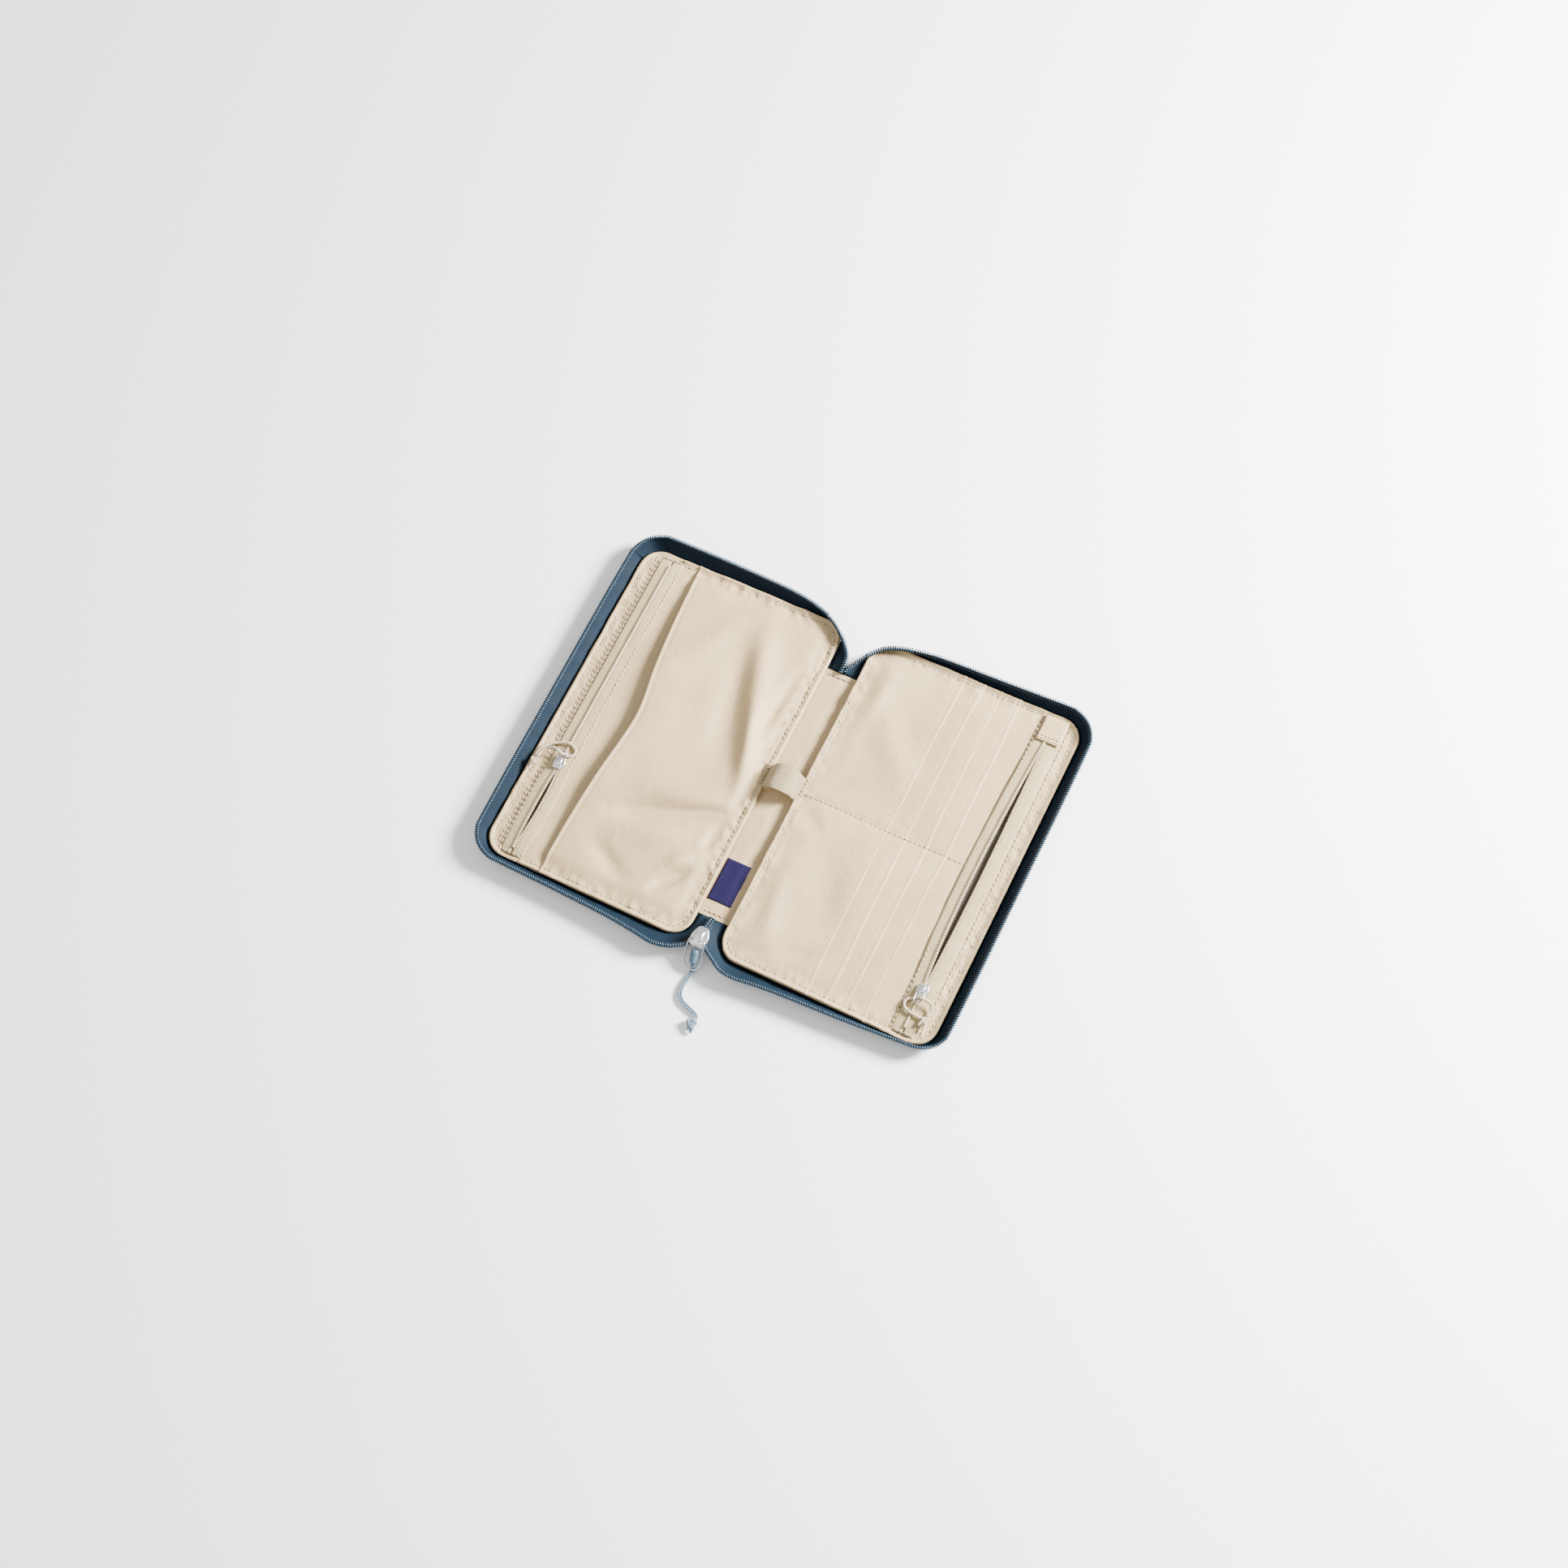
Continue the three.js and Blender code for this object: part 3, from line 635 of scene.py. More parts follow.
def zip_lines(top_end, bottom_end, reach_x, reach_top, reach_bottom):
    """The foot and coil points round one half, from the top of the spine to its bottom."""
    middle_x, middle_y = PANEL_OUT - CORNER, PANEL_END - CORNER
    lines = list(top_end)
    foot = CORNER + FOOT_OUT
    side_reach = reach_x - middle_x
    for a in [0.0, *OUTER_ARC, math.pi / 2]:
        s, c = math.sin(a), math.cos(a)
        reach = side_reach * s * s + (reach_top - middle_y) * c * c
        coil = (middle_x + reach * s, middle_y + reach * c, COIL_Z)
        lines.append(((middle_x + foot * s, middle_y + foot * c, FOOT_Z), coil))
    for y in (50, 0, -50):
        lines.append(((PANEL_OUT + FOOT_OUT, y, FOOT_Z), (reach_x + 0.4, y, COIL_Z)))
    for a in [math.pi / 2, *OUTER_ARC[::-1], 0.0]:
        s, c = math.sin(a), math.cos(a)
        reach = side_reach * s * s + (-reach_bottom - middle_y) * c * c
        coil = (middle_x + reach * s, -middle_y - reach * c, COIL_Z)
        lines.append(((middle_x + foot * s, -middle_y - foot * c, FOOT_Z), coil))
    return lines + list(bottom_end)


LEFT_TOP = [
    ((7.6, 72.2, 1.7), (0.95, 72.0, 2.9)),
    ((8.0, 75.0, 1.6), (1.0, 75.2, 3.6)),
    ((8.6, 80.0, 1.5), (1.6, 80.6, 5.0)),
    ((9.1, 85.5, 1.4), (4.4, 85.0, 6.4)),
    ((10.4, 90.6, 1.4), (8.6, 89.2, 7.5)),
    ((13.0, 93.8, 1.4), (13.2, 92.9, 8)),
    ((17.5, 96.2, 1.4), (18.6, 96.2, 8)),
    ((24.0, 96.95, 1.4), (25.0, 98.6, 8)),
    ((36.0, 96.95, 1.4), (36.5, 101.2, 8)),
    ((52.0, 96.95, 1.4), (52.0, 102.6, 8)),
    ((84.0, 96.95, 1.4), (84.0, 103.4, 8)),
]
RIGHT_TOP = [
    ((7.6, 72.2, 1.7), (0.95, 72.0, 2.9)),
    ((8.0, 74.6, 1.6), (1.9, 74.6, 3.6)),
    ((8.6, 79.0, 1.5), (4.6, 79.2, 5.0)),
    ((9.1, 84.0, 1.4), (7.8, 83.4, 6.6)),
    ((10.2, 89.8, 1.4), (11.6, 87.8, 7.6)),
    ((13.0, 93.8, 1.4), (15.2, 91.4, 8)),
    ((17.5, 96.2, 1.4), (20.0, 94.0, 8)),
    ((24.0, 96.95, 1.4), (26.0, 96.0, 8)),
    ((36.0, 96.95, 1.4), (37.0, 98.2, 8)),
    ((52.0, 96.95, 1.4), (52.0, 99.4, 8)),
    ((84.0, 96.95, 1.4), (84.0, 100.4, 8)),
]
LEFT_BOTTOM = [
    ((84.0, -96.95, 1.4), (84.0, -102.0, 8)),
    ((52.0, -96.95, 1.4), (52.0, -103.2, 8)),
    ((36.0, -96.95, 1.4), (34.0, -104.8, 8)),
    ((25.0, -96.95, 1.4), (22.5, -106.1, 8)),
    ((18.0, -96.3, 1.4), (14.4, -104.6, 8)),
    ((13.0, -93.8, 1.4), (8.9, -101.8, 7.9)),
    ((10.4, -90.6, 1.4), (4.6, -98.4, 7.6)),
    ((9.1, -86.6, 1.4), (1.7, -94.4, 7.4)),
    ((8.4, -83.4, 1.5), (1.0, -88.4, 6.0)),
    ((7.8, -80.2, 1.7), (0.95, -80.6, 2.9)),
]
RIGHT_BOTTOM = [
    ((84.0, -96.95, 1.4), (84.0, -101.0, 8)),
    ((52.0, -96.95, 1.4), (52.0, -102.6, 8)),
    ((36.0, -96.95, 1.4), (35.0, -104.0, 8)),
    ((25.0, -96.95, 1.4), (24.6, -105.2, 8)),
    ((18.0, -96.3, 1.4), (17.0, -104.4, 8)),
    ((13.0, -93.8, 1.4), (10.8, -101.0, 7.9)),
    ((10.4, -90.6, 1.4), (5.0, -97.2, 7.6)),
    ((9.1, -86.6, 1.4), (1.7, -94.0, 7.4)),
    ((8.4, -83.4, 1.5), (1.0, -88.4, 6.0)),
    ((7.8, -80.2, 1.7), (0.95, -80.6, 2.9)),
]
TOOTH_PITCH = 1.3
TAPE_ROWS = 7


def tooth(reach, height, width):
    """One turn of the coil: a strand out over the tape's edge and back under it, slightly slanted."""
    half = reach / 2
    outline = [
        (-half, -0.45 * width, height * 0.42),
        (-half * 0.2, -0.2 * width, height * 0.5),
        (half * 0.72, 0.05 * width, height * 0.4),
        (half, 0.15 * width, 0.0),
        (half * 0.72, 0.25 * width, -height * 0.4),
        (-half * 0.6, 0.45 * width, -height * 0.45),
    ]
    return tube(outline, width * 0.5, 5)


def teeth_along(line, outward, shape):
    """Copies of a tooth along a line: local X points outwards and Y along the line."""
    ahead = np.gradient(line, axis=0)
    ahead /= np.linalg.norm(ahead, axis=1)[:, None]
    out = outward - ahead * np.sum(outward * ahead, axis=1)[:, None]
    out /= np.linalg.norm(out, axis=1)[:, None]
    return copies(shape, line, out, ahead, np.cross(out, ahead))


MAIN_TOOTH = tooth(1.9, 2.0, 0.95)
for side, word, top_end, bottom_end, reach in (
    (-1, "left", LEFT_TOP, LEFT_BOTTOM, (136.6, 103.4, -101.2)),
    (1, "right", RIGHT_TOP, RIGHT_BOTTOM, (137.0, 101.6, -98.6)),
):
    pairs = zip_lines(top_end, bottom_end, *reach)
    both = np.array([foot + coil for foot, coil in pairs]) * ([side, 1, 1] * 2)
    both = smooth_line(both, 1.6)
    foot, coil = both[:, :3], both[:, 3:]
    lean = coil - foot
    outward = np.stack([lean[:, 0], lean[:, 1], np.zeros(len(lean))], -1)
    spread = np.linalg.norm(outward, axis=1)[:, None]
    outward /= np.maximum(spread, 0.5)
    share = np.linspace(0, 1, TAPE_ROWS)[:, None, None]
    sag = 4 * share * (1 - share)
    ripple = ruffle(foot[:, 0], foot[:, 1], 7, 10.0)[None, :, None]
    inner = foot + lean * share + outward * sag * (0.45 + 0.3 * ripple) - sag * np.array([0, 0, 0.35])
    outer = inner + outward * 0.45 - np.array([0, 0, 0.3])
    rows, cols = inner.shape[:2]
    walls = np.concatenate([inner, outer[::-1]]).reshape(-1, 3)
    faces = quads(2 * rows, cols)
    last = (2 * rows - 1) * cols
    faces += [(last + c, last + c + 1, c + 1, c) for c in range(cols - 1)]
    faces.append(tuple(row * cols for row in range(2 * rows)))
    faces.append(tuple(row * cols + cols - 1 for row in range(2 * rows - 1, -1, -1)))
    if side < 0:
        faces = [face[::-1] for face in faces]
    tape = piece(f"{word}_round_tape", (walls, faces), TAPE)
    ends = [f"{word}_zip_tape", f"{word}_zip_corner_top", f"{word}_zip_corner_bottom"]
    bends(tape, side, "main_zip_tape", *ends, *(["bottom_zip_end", "top_zip_end"] if side < 0 else []))
    line = smooth_line(coil, TOOTH_PITCH)
    if side > 0:
        line = (line[:-1] + line[1:]) / 2
    nearest = [int(np.argmin(np.sum((coil - p) ** 2, axis=1))) for p in line]
    toward = outward[nearest]
    at_spine = np.abs(line[:, 0]) < 2.6
    toward[at_spine] = (-side, 0, 0)
    teeth = teeth_along(line + (0, 0, 0.15), toward, MAIN_TOOTH)
    row = piece(f"{word}_round_teeth", teeth, TEETH)
    extra = ["closed_coil_bottom", "closed_coil_top"] if side < 0 else []
    bends(row, side, "main_zip_coil", f"{word}_zip_coil", *extra)

# Left half's pockets: the coin pocket's panel and outer strip, sewn in beside its zip, a dark sheet of
# painted shade that shows through the open zip, and over them the large passport pocket, whose free
# edge stands a little open. It is slack, with soft folds that run out from the spine.
# Painted shade: a dark sheet laid under each open pocket zip stands for the deep shade inside the pocket,
# seen through the gap.
ZIP_GAP_SHADE = woven("zip_gap_painted_shade", (0.035, 0.028, 0.02), (0.075, 0.06, 0.045), twill, 0.00006, 0.8)
COIN_INNER = 109.0
COIN_ZIP = 114.4
COIN_OUTER = 120.6
POCKET_TOP = 3.0


def pinned(x, y, reach=14.0):
    """0 at the panel's seams and 1 well inside."""
    t = np.clip((edge_distance(x, y) - 4) / reach, 0, 1)
    return t * t * (3 - 2 * t)


def settled(height, lowest):
    """A height eased so that it never drops to the layer below."""
    over = height - lowest
    return lowest + (over + np.sqrt(over**2 + 0.16)) / 2


def coin_height(x, y):
    """The top of the coin pocket's panel and outer strip."""
    height = POCKET_TOP + rolled_edge(x, y) + puckers(x, y, 2.0) * 0.6
    return np.maximum(height + 0.25 * pinned(x, y) * ruffle(x, y, 22, 2.5), BOARD_TOP + 0.35)


def interp(y, points):
    """A value along y, smooth between the given (y, value) pairs."""
    at, values = zip(*points)
    dense = np.linspace(at[0], at[-1], 200)
    straight = np.interp(dense, at, values)
    window = np.hanning(21)
    window /= window.sum()
    padded = np.pad(straight, 10, mode="edge")
    return np.interp(y, dense, np.convolve(padded, window, "valid"))


PASSPORT_FREE = [
    (-96, 95.6), (-88, 95.8), (-70, 95.2), (-50, 93.8), (-30, 91.8), (-18, 90.3), (-6, 89.0), (4, 88.6),
    (14, 89.8), (28, 92.4), (48, 95.0), (70, 96.8), (81, 97.6), (96, 99.0),
]
FOLD_DEPTH = 2.3


def fold(x, y, start, end, width, height):
    """A soft ridge from start to end, or a crease where its height is negative."""
    (x0, y0), (x1, y1) = start, end
    along = ((x - x0) * (x1 - x0) + (y - y0) * (y1 - y0)) / ((x1 - x0) ** 2 + (y1 - y0) ** 2)
    near = np.clip(along, 0, 1)
    away = np.hypot(x - x0 - near * (x1 - x0), y - y0 - near * (y1 - y0))
    return FOLD_DEPTH * height * (0.35 + 0.65 * np.sin(math.pi * near)) * np.exp(-((away / width) ** 2))


def folds(x, y, given):
    """Several folds together."""
    return sum(fold(x, y, *each) for each in given)


PASSPORT_FOLDS = [
    ((48, 78), (31, 26), 7.5, 1.7),
    ((33, 34), (20, -10), 5.0, 1.9),
    ((52, 58), (40, 2), 7.0, -0.9),
    ((19, -27), (46, -38), 3.6, -1.7),
    ((44, -37), (76, -50), 5.5, -1.3),
    ((24, -20), (62, -32), 7.0, 1.0),
    ((28, -46), (66, -60), 7.5, 1.1),
    ((36, -78), (25, -64), 3.2, -1.5),
    ((18, -34), (21, -48), 3.0, -1.1),
    ((24, -54), (36, -66), 4.5, 1.0),
    ((76, -70), (56, -80), 5.0, -0.9),
    ((20, 62), (24, 20), 3.6, -0.8),
    ((60, 80), (84, 40), 9.0, 0.9),
]


def passport_height(x, y):
    """The large pocket: slack folds beside the spine, and a mouth that stands a little open."""
    free = interp(y, PASSPORT_FREE)
    mouth = np.exp(-(((free - x) / 24) ** 2)) * np.cos(np.clip(y / 96, -1, 1) * math.pi / 2) ** 1.3
    soft = ruffle(x, y, 44, 3.7) * 0.8 + ruffle(x * 0.6 - y * 0.5, y * 0.5 + x * 0.8, 17, 3.0) * 0.3
    hem = 0.45 * np.exp(-(((free - x - 0.6) / 0.7) ** 2)) - 0.3 * np.exp(-(((free - x - 2.1) / 0.7) ** 2))
    height = 3.75 + rolled_edge(x, y) + puckers(x, y, 3.0) + hem
    height = height + pinned(x, y, 9.0) * (3.6 * mouth + folds(x, y, PASSPORT_FOLDS) + soft + 1.4)
    return settled(height, coin_height(x, y) + 0.35)


def shade_sheet_height(x, y):
    """The top of a dark sheet of painted shade under an open zip, close over the panel's lining."""
    return np.full(np.broadcast(x, y).shape, PANEL_TOP + 0.12)


coin_panel = piece("coin_panel", half_sheet(-1, 9.6, COIN_INNER, coin_height, 1.6, 0.6), LINING)
belongs(coin_panel, "left_half", "lining_fabric", "coin_pocket_panel")
coin_strip = piece("coin_strip", half_sheet(-1, COIN_OUTER, PANEL_OUT, coin_height, 0.8, 0.4), LINING)
belongs(coin_strip, "left_half", "lining_fabric", "coin_outer_strip")
# Painted shade: a dark sheet under the open coin zip.
coin_zip_shade = piece("coin_zip_shade", half_sheet(-1, COIN_ZIP - 6, COIN_ZIP + 7, shade_sheet_height, 3.0, 6.5, 0.1), ZIP_GAP_SHADE)
belongs(coin_zip_shade, "left_half", "lining_fabric")
passport = piece(
    "passport_sheet",
    half_sheet(-1, 9.3, lambda y: interp(y, PASSPORT_FREE), passport_height, 1.0, 0.3, 0.32),
    LINING,
)
belongs(passport, "left_half", "lining_fabric", "passport_pocket")

# Right half's pockets: the note pocket's panel and outer strip, a dark sheet of painted shade under its
# open zip, then four card slots, each one shorter and higher than the last and sewn down across its
# middle, and a patch over the zip's upper end.
NOTE_INNER = 109.0
NOTE_ZIP = 115.0
NOTE_OUTER = 120.8
ZIP_TOP = 4.1
SLOT_EDGES = (62.0, 73.0, 84.0, 95.0)
SLOT_TOPS = (4.35, 4.0, 3.65, 3.3)


def panel_height(x, y):
    """The top of the note pocket's panel and outer strip."""
    height = POCKET_TOP + rolled_edge(x, y) + puckers(x, y, 4.0) * 0.6
    return np.maximum(height + 0.2 * pinned(x, y) * ruffle(x, y, 22, 4.5), BOARD_TOP + 0.35)


def middle_seam(y):
    """The card slots' seam across their middle draws the cloth down."""
    return np.exp(-(((y - 0.5) / 1.5) ** 2))


SLOT_FOLDS = [
    ((14, 4), (30, 16), 4.0, -0.8),
    ((14, -8), (28, -14), 3.6, -0.8),
    ((18, 40), (26, 84), 6.0, 0.8),
    ((30, 60), (54, 30), 8.0, 0.8),
    ((20, -40), (30, -80), 6.0, 0.7),
    ((36, -24), (56, -60), 8.0, -0.6),
    ((40, -84), (56, -76), 4.0, -0.7),
]


def slot_height(number, x, y):
    """A card slot's layer: its hem stands a little off the one below, drawn down at the middle seam."""
    free = SLOT_EDGES[number]
    inside = pinned(x, y)
    bay = np.abs(np.sin(np.clip((y - 0.5) / 94, -1, 1) * math.pi)) ** 0.7
    near = np.exp(-((np.minimum(free - x, 60) / 13) ** 2))
    lift = near * bay * (1.15 - 0.12 * number)
    hem = 0.28 * np.exp(-(((free - x - 0.6) / 0.6) ** 2)) - 0.2 * np.exp(-(((free - x - 1.9) / 0.6) ** 2))
    soft = ruffle(x, y, 30, 5.0) * 0.5 + ruffle(x * 0.5 + y * 0.5, y * 0.4 - x * 0.6, 24, 6.0) * 0.3
    soft = soft + folds(x, y, SLOT_FOLDS)
    seam = middle_seam(y) * (-0.28 - 0.2 * (3 - number) / 3)
    seam = seam + 0.2 * np.exp(-(((y - 0.5) / 5) ** 2)) * ruffle(x, y, 5, 7.0)
    height = SLOT_TOPS[number] + rolled_edge(x, y) + puckers(x, y, 5.0) + hem
    height = height + inside * (lift + soft * 0.9 + 0.7) + seam
    return settled(height, panel_height(x, y) + 0.3 + 0.3 * (3 - number))


note_panel = piece("note_panel", half_sheet(1, 9.6, NOTE_INNER, panel_height, 1.6, 0.6), LINING)
belongs(note_panel, "right_half", "lining_fabric", "note_pocket_panel")
note_strip = piece("note_strip", half_sheet(1, NOTE_OUTER, PANEL_OUT, panel_height, 0.8, 0.4), LINING)
belongs(note_strip, "right_half", "lining_fabric", "note_outer_strip")
# Painted shade: a dark sheet under the open note zip.
note_zip_shade = piece("note_zip_shade", half_sheet(1, NOTE_ZIP - 6, NOTE_ZIP + 7, shade_sheet_height, 3.0, 6.5, 0.1), ZIP_GAP_SHADE)
belongs(note_zip_shade, "right_half", "lining_fabric")
for number, free in enumerate(SLOT_EDGES):
    layer = half_sheet(
        1,
        9.3 + 0.1 * number,
        lambda y, free=free: free + 0.5 * np.sin(y / 31 + free) + 0.25 * np.sin(y / 9 + free),
        lambda x, y, number=number: slot_height(number, x, y),
        1.3,
        0.3 + 0.05 * number,
        0.3,
    )
    slot_sheet = piece(f"card_slot_sheet_{number + 1}", layer, LINING)
    belongs(slot_sheet, "right_half", "lining_fabric", f"card_slot_{number + 1}")
x, y = np.meshgrid(np.linspace(109.6, 122.6, 14), np.linspace(79.5, 94.6, 16))
patch_z = ZIP_TOP + 0.95 + 0.25 * np.exp(-(((y - 80.2) / 0.7) ** 2)) + 0.22 * ruffle(x, y, 6, 11.0)
patch_z -= 0.7 * np.clip((y - 91.5) / 3.1, 0, 1) ** 2
patch = piece("note_zip_patch", cloth(np.stack([x, y, patch_z], -1), 0.3), LINING)
belongs(patch, "right_half", "lining_fabric", "note_zip_top_patch")

# The two pocket zips: herringbone tapes either side of a line of small teeth. From the slider on, one
# way, the two rows are joined, and the other way they stand apart over a dark sheet of painted shade.


def herringbone(x, y, z):
    """Twill lines that turn back at each rib of the tape."""
    zigzag = x.math("PINGPONG", x * (1 / 0.0032), 0.5) * 0.0026
    return (y + zigzag + z * 0.5).wave(0.0011)


OLIVE = woven("pocket_tape", (0.27, 0.20, 0.092), (0.50, 0.40, 0.22), herringbone, 0.0001, 0.75)
POCKET_TEETH = plastic("pocket_teeth", (0.46, 0.37, 0.22), (0.62, 0.52, 0.34), 0.4)
SMALL_TOOTH = tooth(1.25, 1.0, 0.75)
SMALL_PITCH = 1.05
TAPE_WIDE = 6.2


def zip_gap(y, slider, end, widest):
    """Half the opening between the two rows of teeth."""
    t = np.clip((y - slider) / (end - slider), 0, 1)
    return 0.55 + widest * np.sin(math.pi * t**0.8) ** 0.8


for word, side, zip_x, slider_y, open_end, widest in (
    ("coin", -1, COIN_ZIP, -40.0, -91.0, 1.5),
    ("note", 1, NOTE_ZIP, -67.0, 80.0, 2.3),
):
    body = f"{'left' if side < 0 else 'right'}_half"
    low, high = -94.3, 94.3
    y = np.linspace(low, high, 190)
    gap = zip_gap(y, slider_y, open_end, widest)
    for row_word, sign, skew in (("inner", -1, 1.25), ("outer", 1, 0.55)):
        edge = zip_x + sign * (0.35 + (gap - 0.55) * skew)
        reach = np.linspace(0, 1, 7)
        x = edge[:, None] + sign * TAPE_WIDE * reach
        grow = np.clip((gap[:, None] - 0.55) / max(widest, 1), 0, 1) * (1 - reach) * 0.35
        z = ZIP_TOP - 0.45 * reach**2 + grow + 0.16 * ruffle(x, y[:, None], 8, 12.0 + side)
        ends = np.clip((np.abs(y) - 88) / 5, 0, 1)[:, None] ** 2
        z = z - ends * 0.7
        top = np.stack([side * x, np.broadcast_to(y[:, None], x.shape), z], -1)
        if side * sign < 0:
            top = top[:, ::-1]
        tape = piece(f"{word}_{row_word}_tape", cloth(top, 0.3), OLIVE)
        belongs(tape, body, "pocket_zip_tape", f"{word}_zip_{row_word}_tape")
        edge_line = np.stack([side * (edge - sign * 0.1), y, z[:, 0] + 0.12], -1)
        line = smooth_line(edge_line[4:-4:4], SMALL_PITCH)
        if sign > 0:
            line = (line[:-1] + line[1:]) / 2
        toward = np.broadcast_to(np.array([-side * sign, 0, 0.0]), line.shape)
        nodes = [f"{word}_zip_{row_word}_coil"] + ([f"{word}_zip_closed_coil"] if sign < 0 else [])
        teeth = teeth_along(line, toward, SMALL_TOOTH)
        row = piece(f"{word}_{row_word}_teeth", teeth, POCKET_TEETH)
        belongs(row, body, "pocket_zip_coil", *nodes)

# Zip sliders: die-cast, with two rounded plates, a wedge between them that parts the teeth, and a
# bridge on top that holds the pull. The nose points the way the teeth are joined.


def metal(name, colour, roughness):
    """Bare or plated metal, lightly worn."""
    made, shader, place = material(name, roughness, metallic=1.0)
    share = place.noise(300.0, 4.0)
    darker = tuple(c * 0.82 for c in colour)
    finish_look(shader, share.mix((*darker, 1), (*colour, 1)), place.noise(900.0, 3.0), 0.00002)
    return made


SILVER = metal("slider", (0.80, 0.81, 0.84), 0.3)


def plate(outline, low, high, bevel, dome=0.0):
    """A flat plate with rounded edges, as a shape."""
    form = bmesh.new()
    base = [form.verts.new((x, y, low)) for x, y in outline]
    face = form.faces.new(base)
    lifted = bmesh.ops.extrude_face_region(form, geom=[face])["geom"]
    tops = [v for v in lifted if isinstance(v, bmesh.types.BMVert)]
    bmesh.ops.translate(form, verts=tops, vec=(0, 0, high - low))
    bmesh.ops.recalc_face_normals(form, faces=form.faces)
    rims = [e for e in form.edges if abs(e.verts[0].co.z - e.verts[1].co.z) < 1e-6]
    bmesh.ops.bevel(form, geom=rims, offset=bevel, segments=3, profile=0.5, affect="EDGES", material=-1)
    points = np.array([tuple(v.co) for v in form.verts])
    if dome:
        upper = points[:, 2] > (low + high) / 2
        far = np.hypot(points[:, 0], points[:, 1]) / np.hypot(points[:, 0], points[:, 1]).max()
        points[upper, 2] += dome * (1 - far[upper] ** 2)
    faces = [tuple(v.index for v in f.verts) for f in form.faces]
    form.free()
    return points, faces


def slider_outline(half, length):
    """Seen from above: a narrow nose at +Y, round shoulders and a slightly narrower mouth."""
    corners = [
        (-0.5, 0.5), (-0.78, 0.3), (-1, 0.02), (-0.96, -0.25), (-0.7, -0.47), (0, -0.43),
        (0.7, -0.47), (0.96, -0.25), (1, 0.02), (0.78, 0.3), (0.5, 0.5), (0, 0.53),
    ]
    return smooth_line([(half * x, length * y, 0) for x, y in corners], half * 0.22, True)[:, :2]


def slider(half, under, length, height, thick, bridge_long, bridge_high, bridge_wide):
    """A whole slider, its underside on z = 0."""
    outline = slider_outline(half, length)
    arch = [
        (0, -bridge_long * 0.5, height - thick * 0.6),
        (0, -bridge_long * 0.48, height + bridge_high * 0.55),
        (0, -bridge_long * 0.25, height + bridge_high * 0.92),
        (0, bridge_long * 0.2, height + bridge_high * 0.9),
        (0, bridge_long * 0.46, height + bridge_high * 0.45),
        (0, bridge_long * 0.5, height - thick * 0.6),
    ]
    line = smooth_line(arch, 0.4)
    band, band_faces = tube(line, bridge_wide * 0.5, 10)
    centres = np.repeat(line, 10, axis=0)
    offset = band - centres
    flat = offset * (1.9, 0.45, 0.45)
    wedge_y = -length * 0.24
    wedge = tube([(0, wedge_y, thick * 0.4), (0, wedge_y, height - thick * 0.4)], half * 0.26, 10)
    return merged([
        plate(outline * (under / half, 0.96), 0, thick, thick * 0.3),
        plate(outline, height - thick, height, thick * 0.38, dome=thick * 0.35),
        wedge,
        (centres + flat, band_faces),
    ])


def placed(shape, at, turned=False):
    """A shape moved to its place, turned half round if its nose points along -Y."""
    points, faces = shape
    points = np.asarray(points) * ((-1, -1, 1) if turned else (1, 1, 1))
    return points + np.array(at), faces


main_shape = slider(4.7, 3.8, 11.0, 4.4, 1.05, 7.0, 2.6, 2.4)
main_slider = piece("main_slider_body", placed(main_shape, (0, -93.4, 5.2)), SILVER)
belongs(main_slider, "main_slider", "slider_metal", "main_slider")
SMALL_Z = 2.9
small_shape = slider(3.1, 2.4, 8.0, 2.9, 0.7, 5.0, 1.9, 1.6)
for word, at, turned in (("coin", COIN_AT, False), ("note", NOTE_AT, True)):
    made = piece(f"{word}_slider_body", placed(small_shape, at + (0, 0, SMALL_Z), turned), SILVER)
    belongs(made, f"{word}_slider", "slider_metal", f"{word}_slider")

# Pulls: the round zip's wire hoop with a moulded sleeve clamped on its lower end, and a small wire eye
# on each pocket slider. Each wire passes under its slider's bridge.
STEEL = metal("wire", (0.62, 0.62, 0.64), 0.24)
SLEEVE = plastic("sleeve", (0.035, 0.07, 0.105), (0.07, 0.125, 0.175), 0.45)
HOOP = [
    (1.6, 0, 0), (3.8, -1.0, 0.0), (4.6, -3.4, -1.2), (5.3, -6.6, -3.3), (5.7, -10.2, -5.7),
    (5.1, -12.9, -6.9), (3.2, -14.4, -7.5), (0.6, -14.7, -7.6), (-1.9, -13.7, -7.2), (-3.4, -11.2, -6.1),
    (-4.2, -7.4, -3.7), (-4.5, -3.6, -1.3), (-3.8, -1.0, 0.0), (-1.6, 0, 0),
]
hoop = piece("main_hoop", tube(smooth_line([PIVOT + p for p in HOOP], 0.7, True), 0.48, 10, True), STEEL)
belongs(hoop, "main_pull", "wire_steel", "main_pull_hoop")
SLEEVE_AT = (-0.5, -0.49, -0.46, -0.38, 0.1, 0.38, 0.46, 0.49, 0.5)
SLEEVE_R = (1.2, 1.6, 1.95, 2.15, 2.25, 2.2, 2.05, 1.8, 1.3)
sleeve_line = [SLEEVE_MIDDLE + SLEEVE_AXIS * (SLEEVE_LENGTH * t) for t in SLEEVE_AT]
sleeve_shape = tube(sleeve_line, SLEEVE_R, 18)
RIDGE_R = 2.15
RIDGE_X, RIDGE_Y = np.array([1, 0, 0]), np.array([0, -0.5, 0.86])
ridges = []
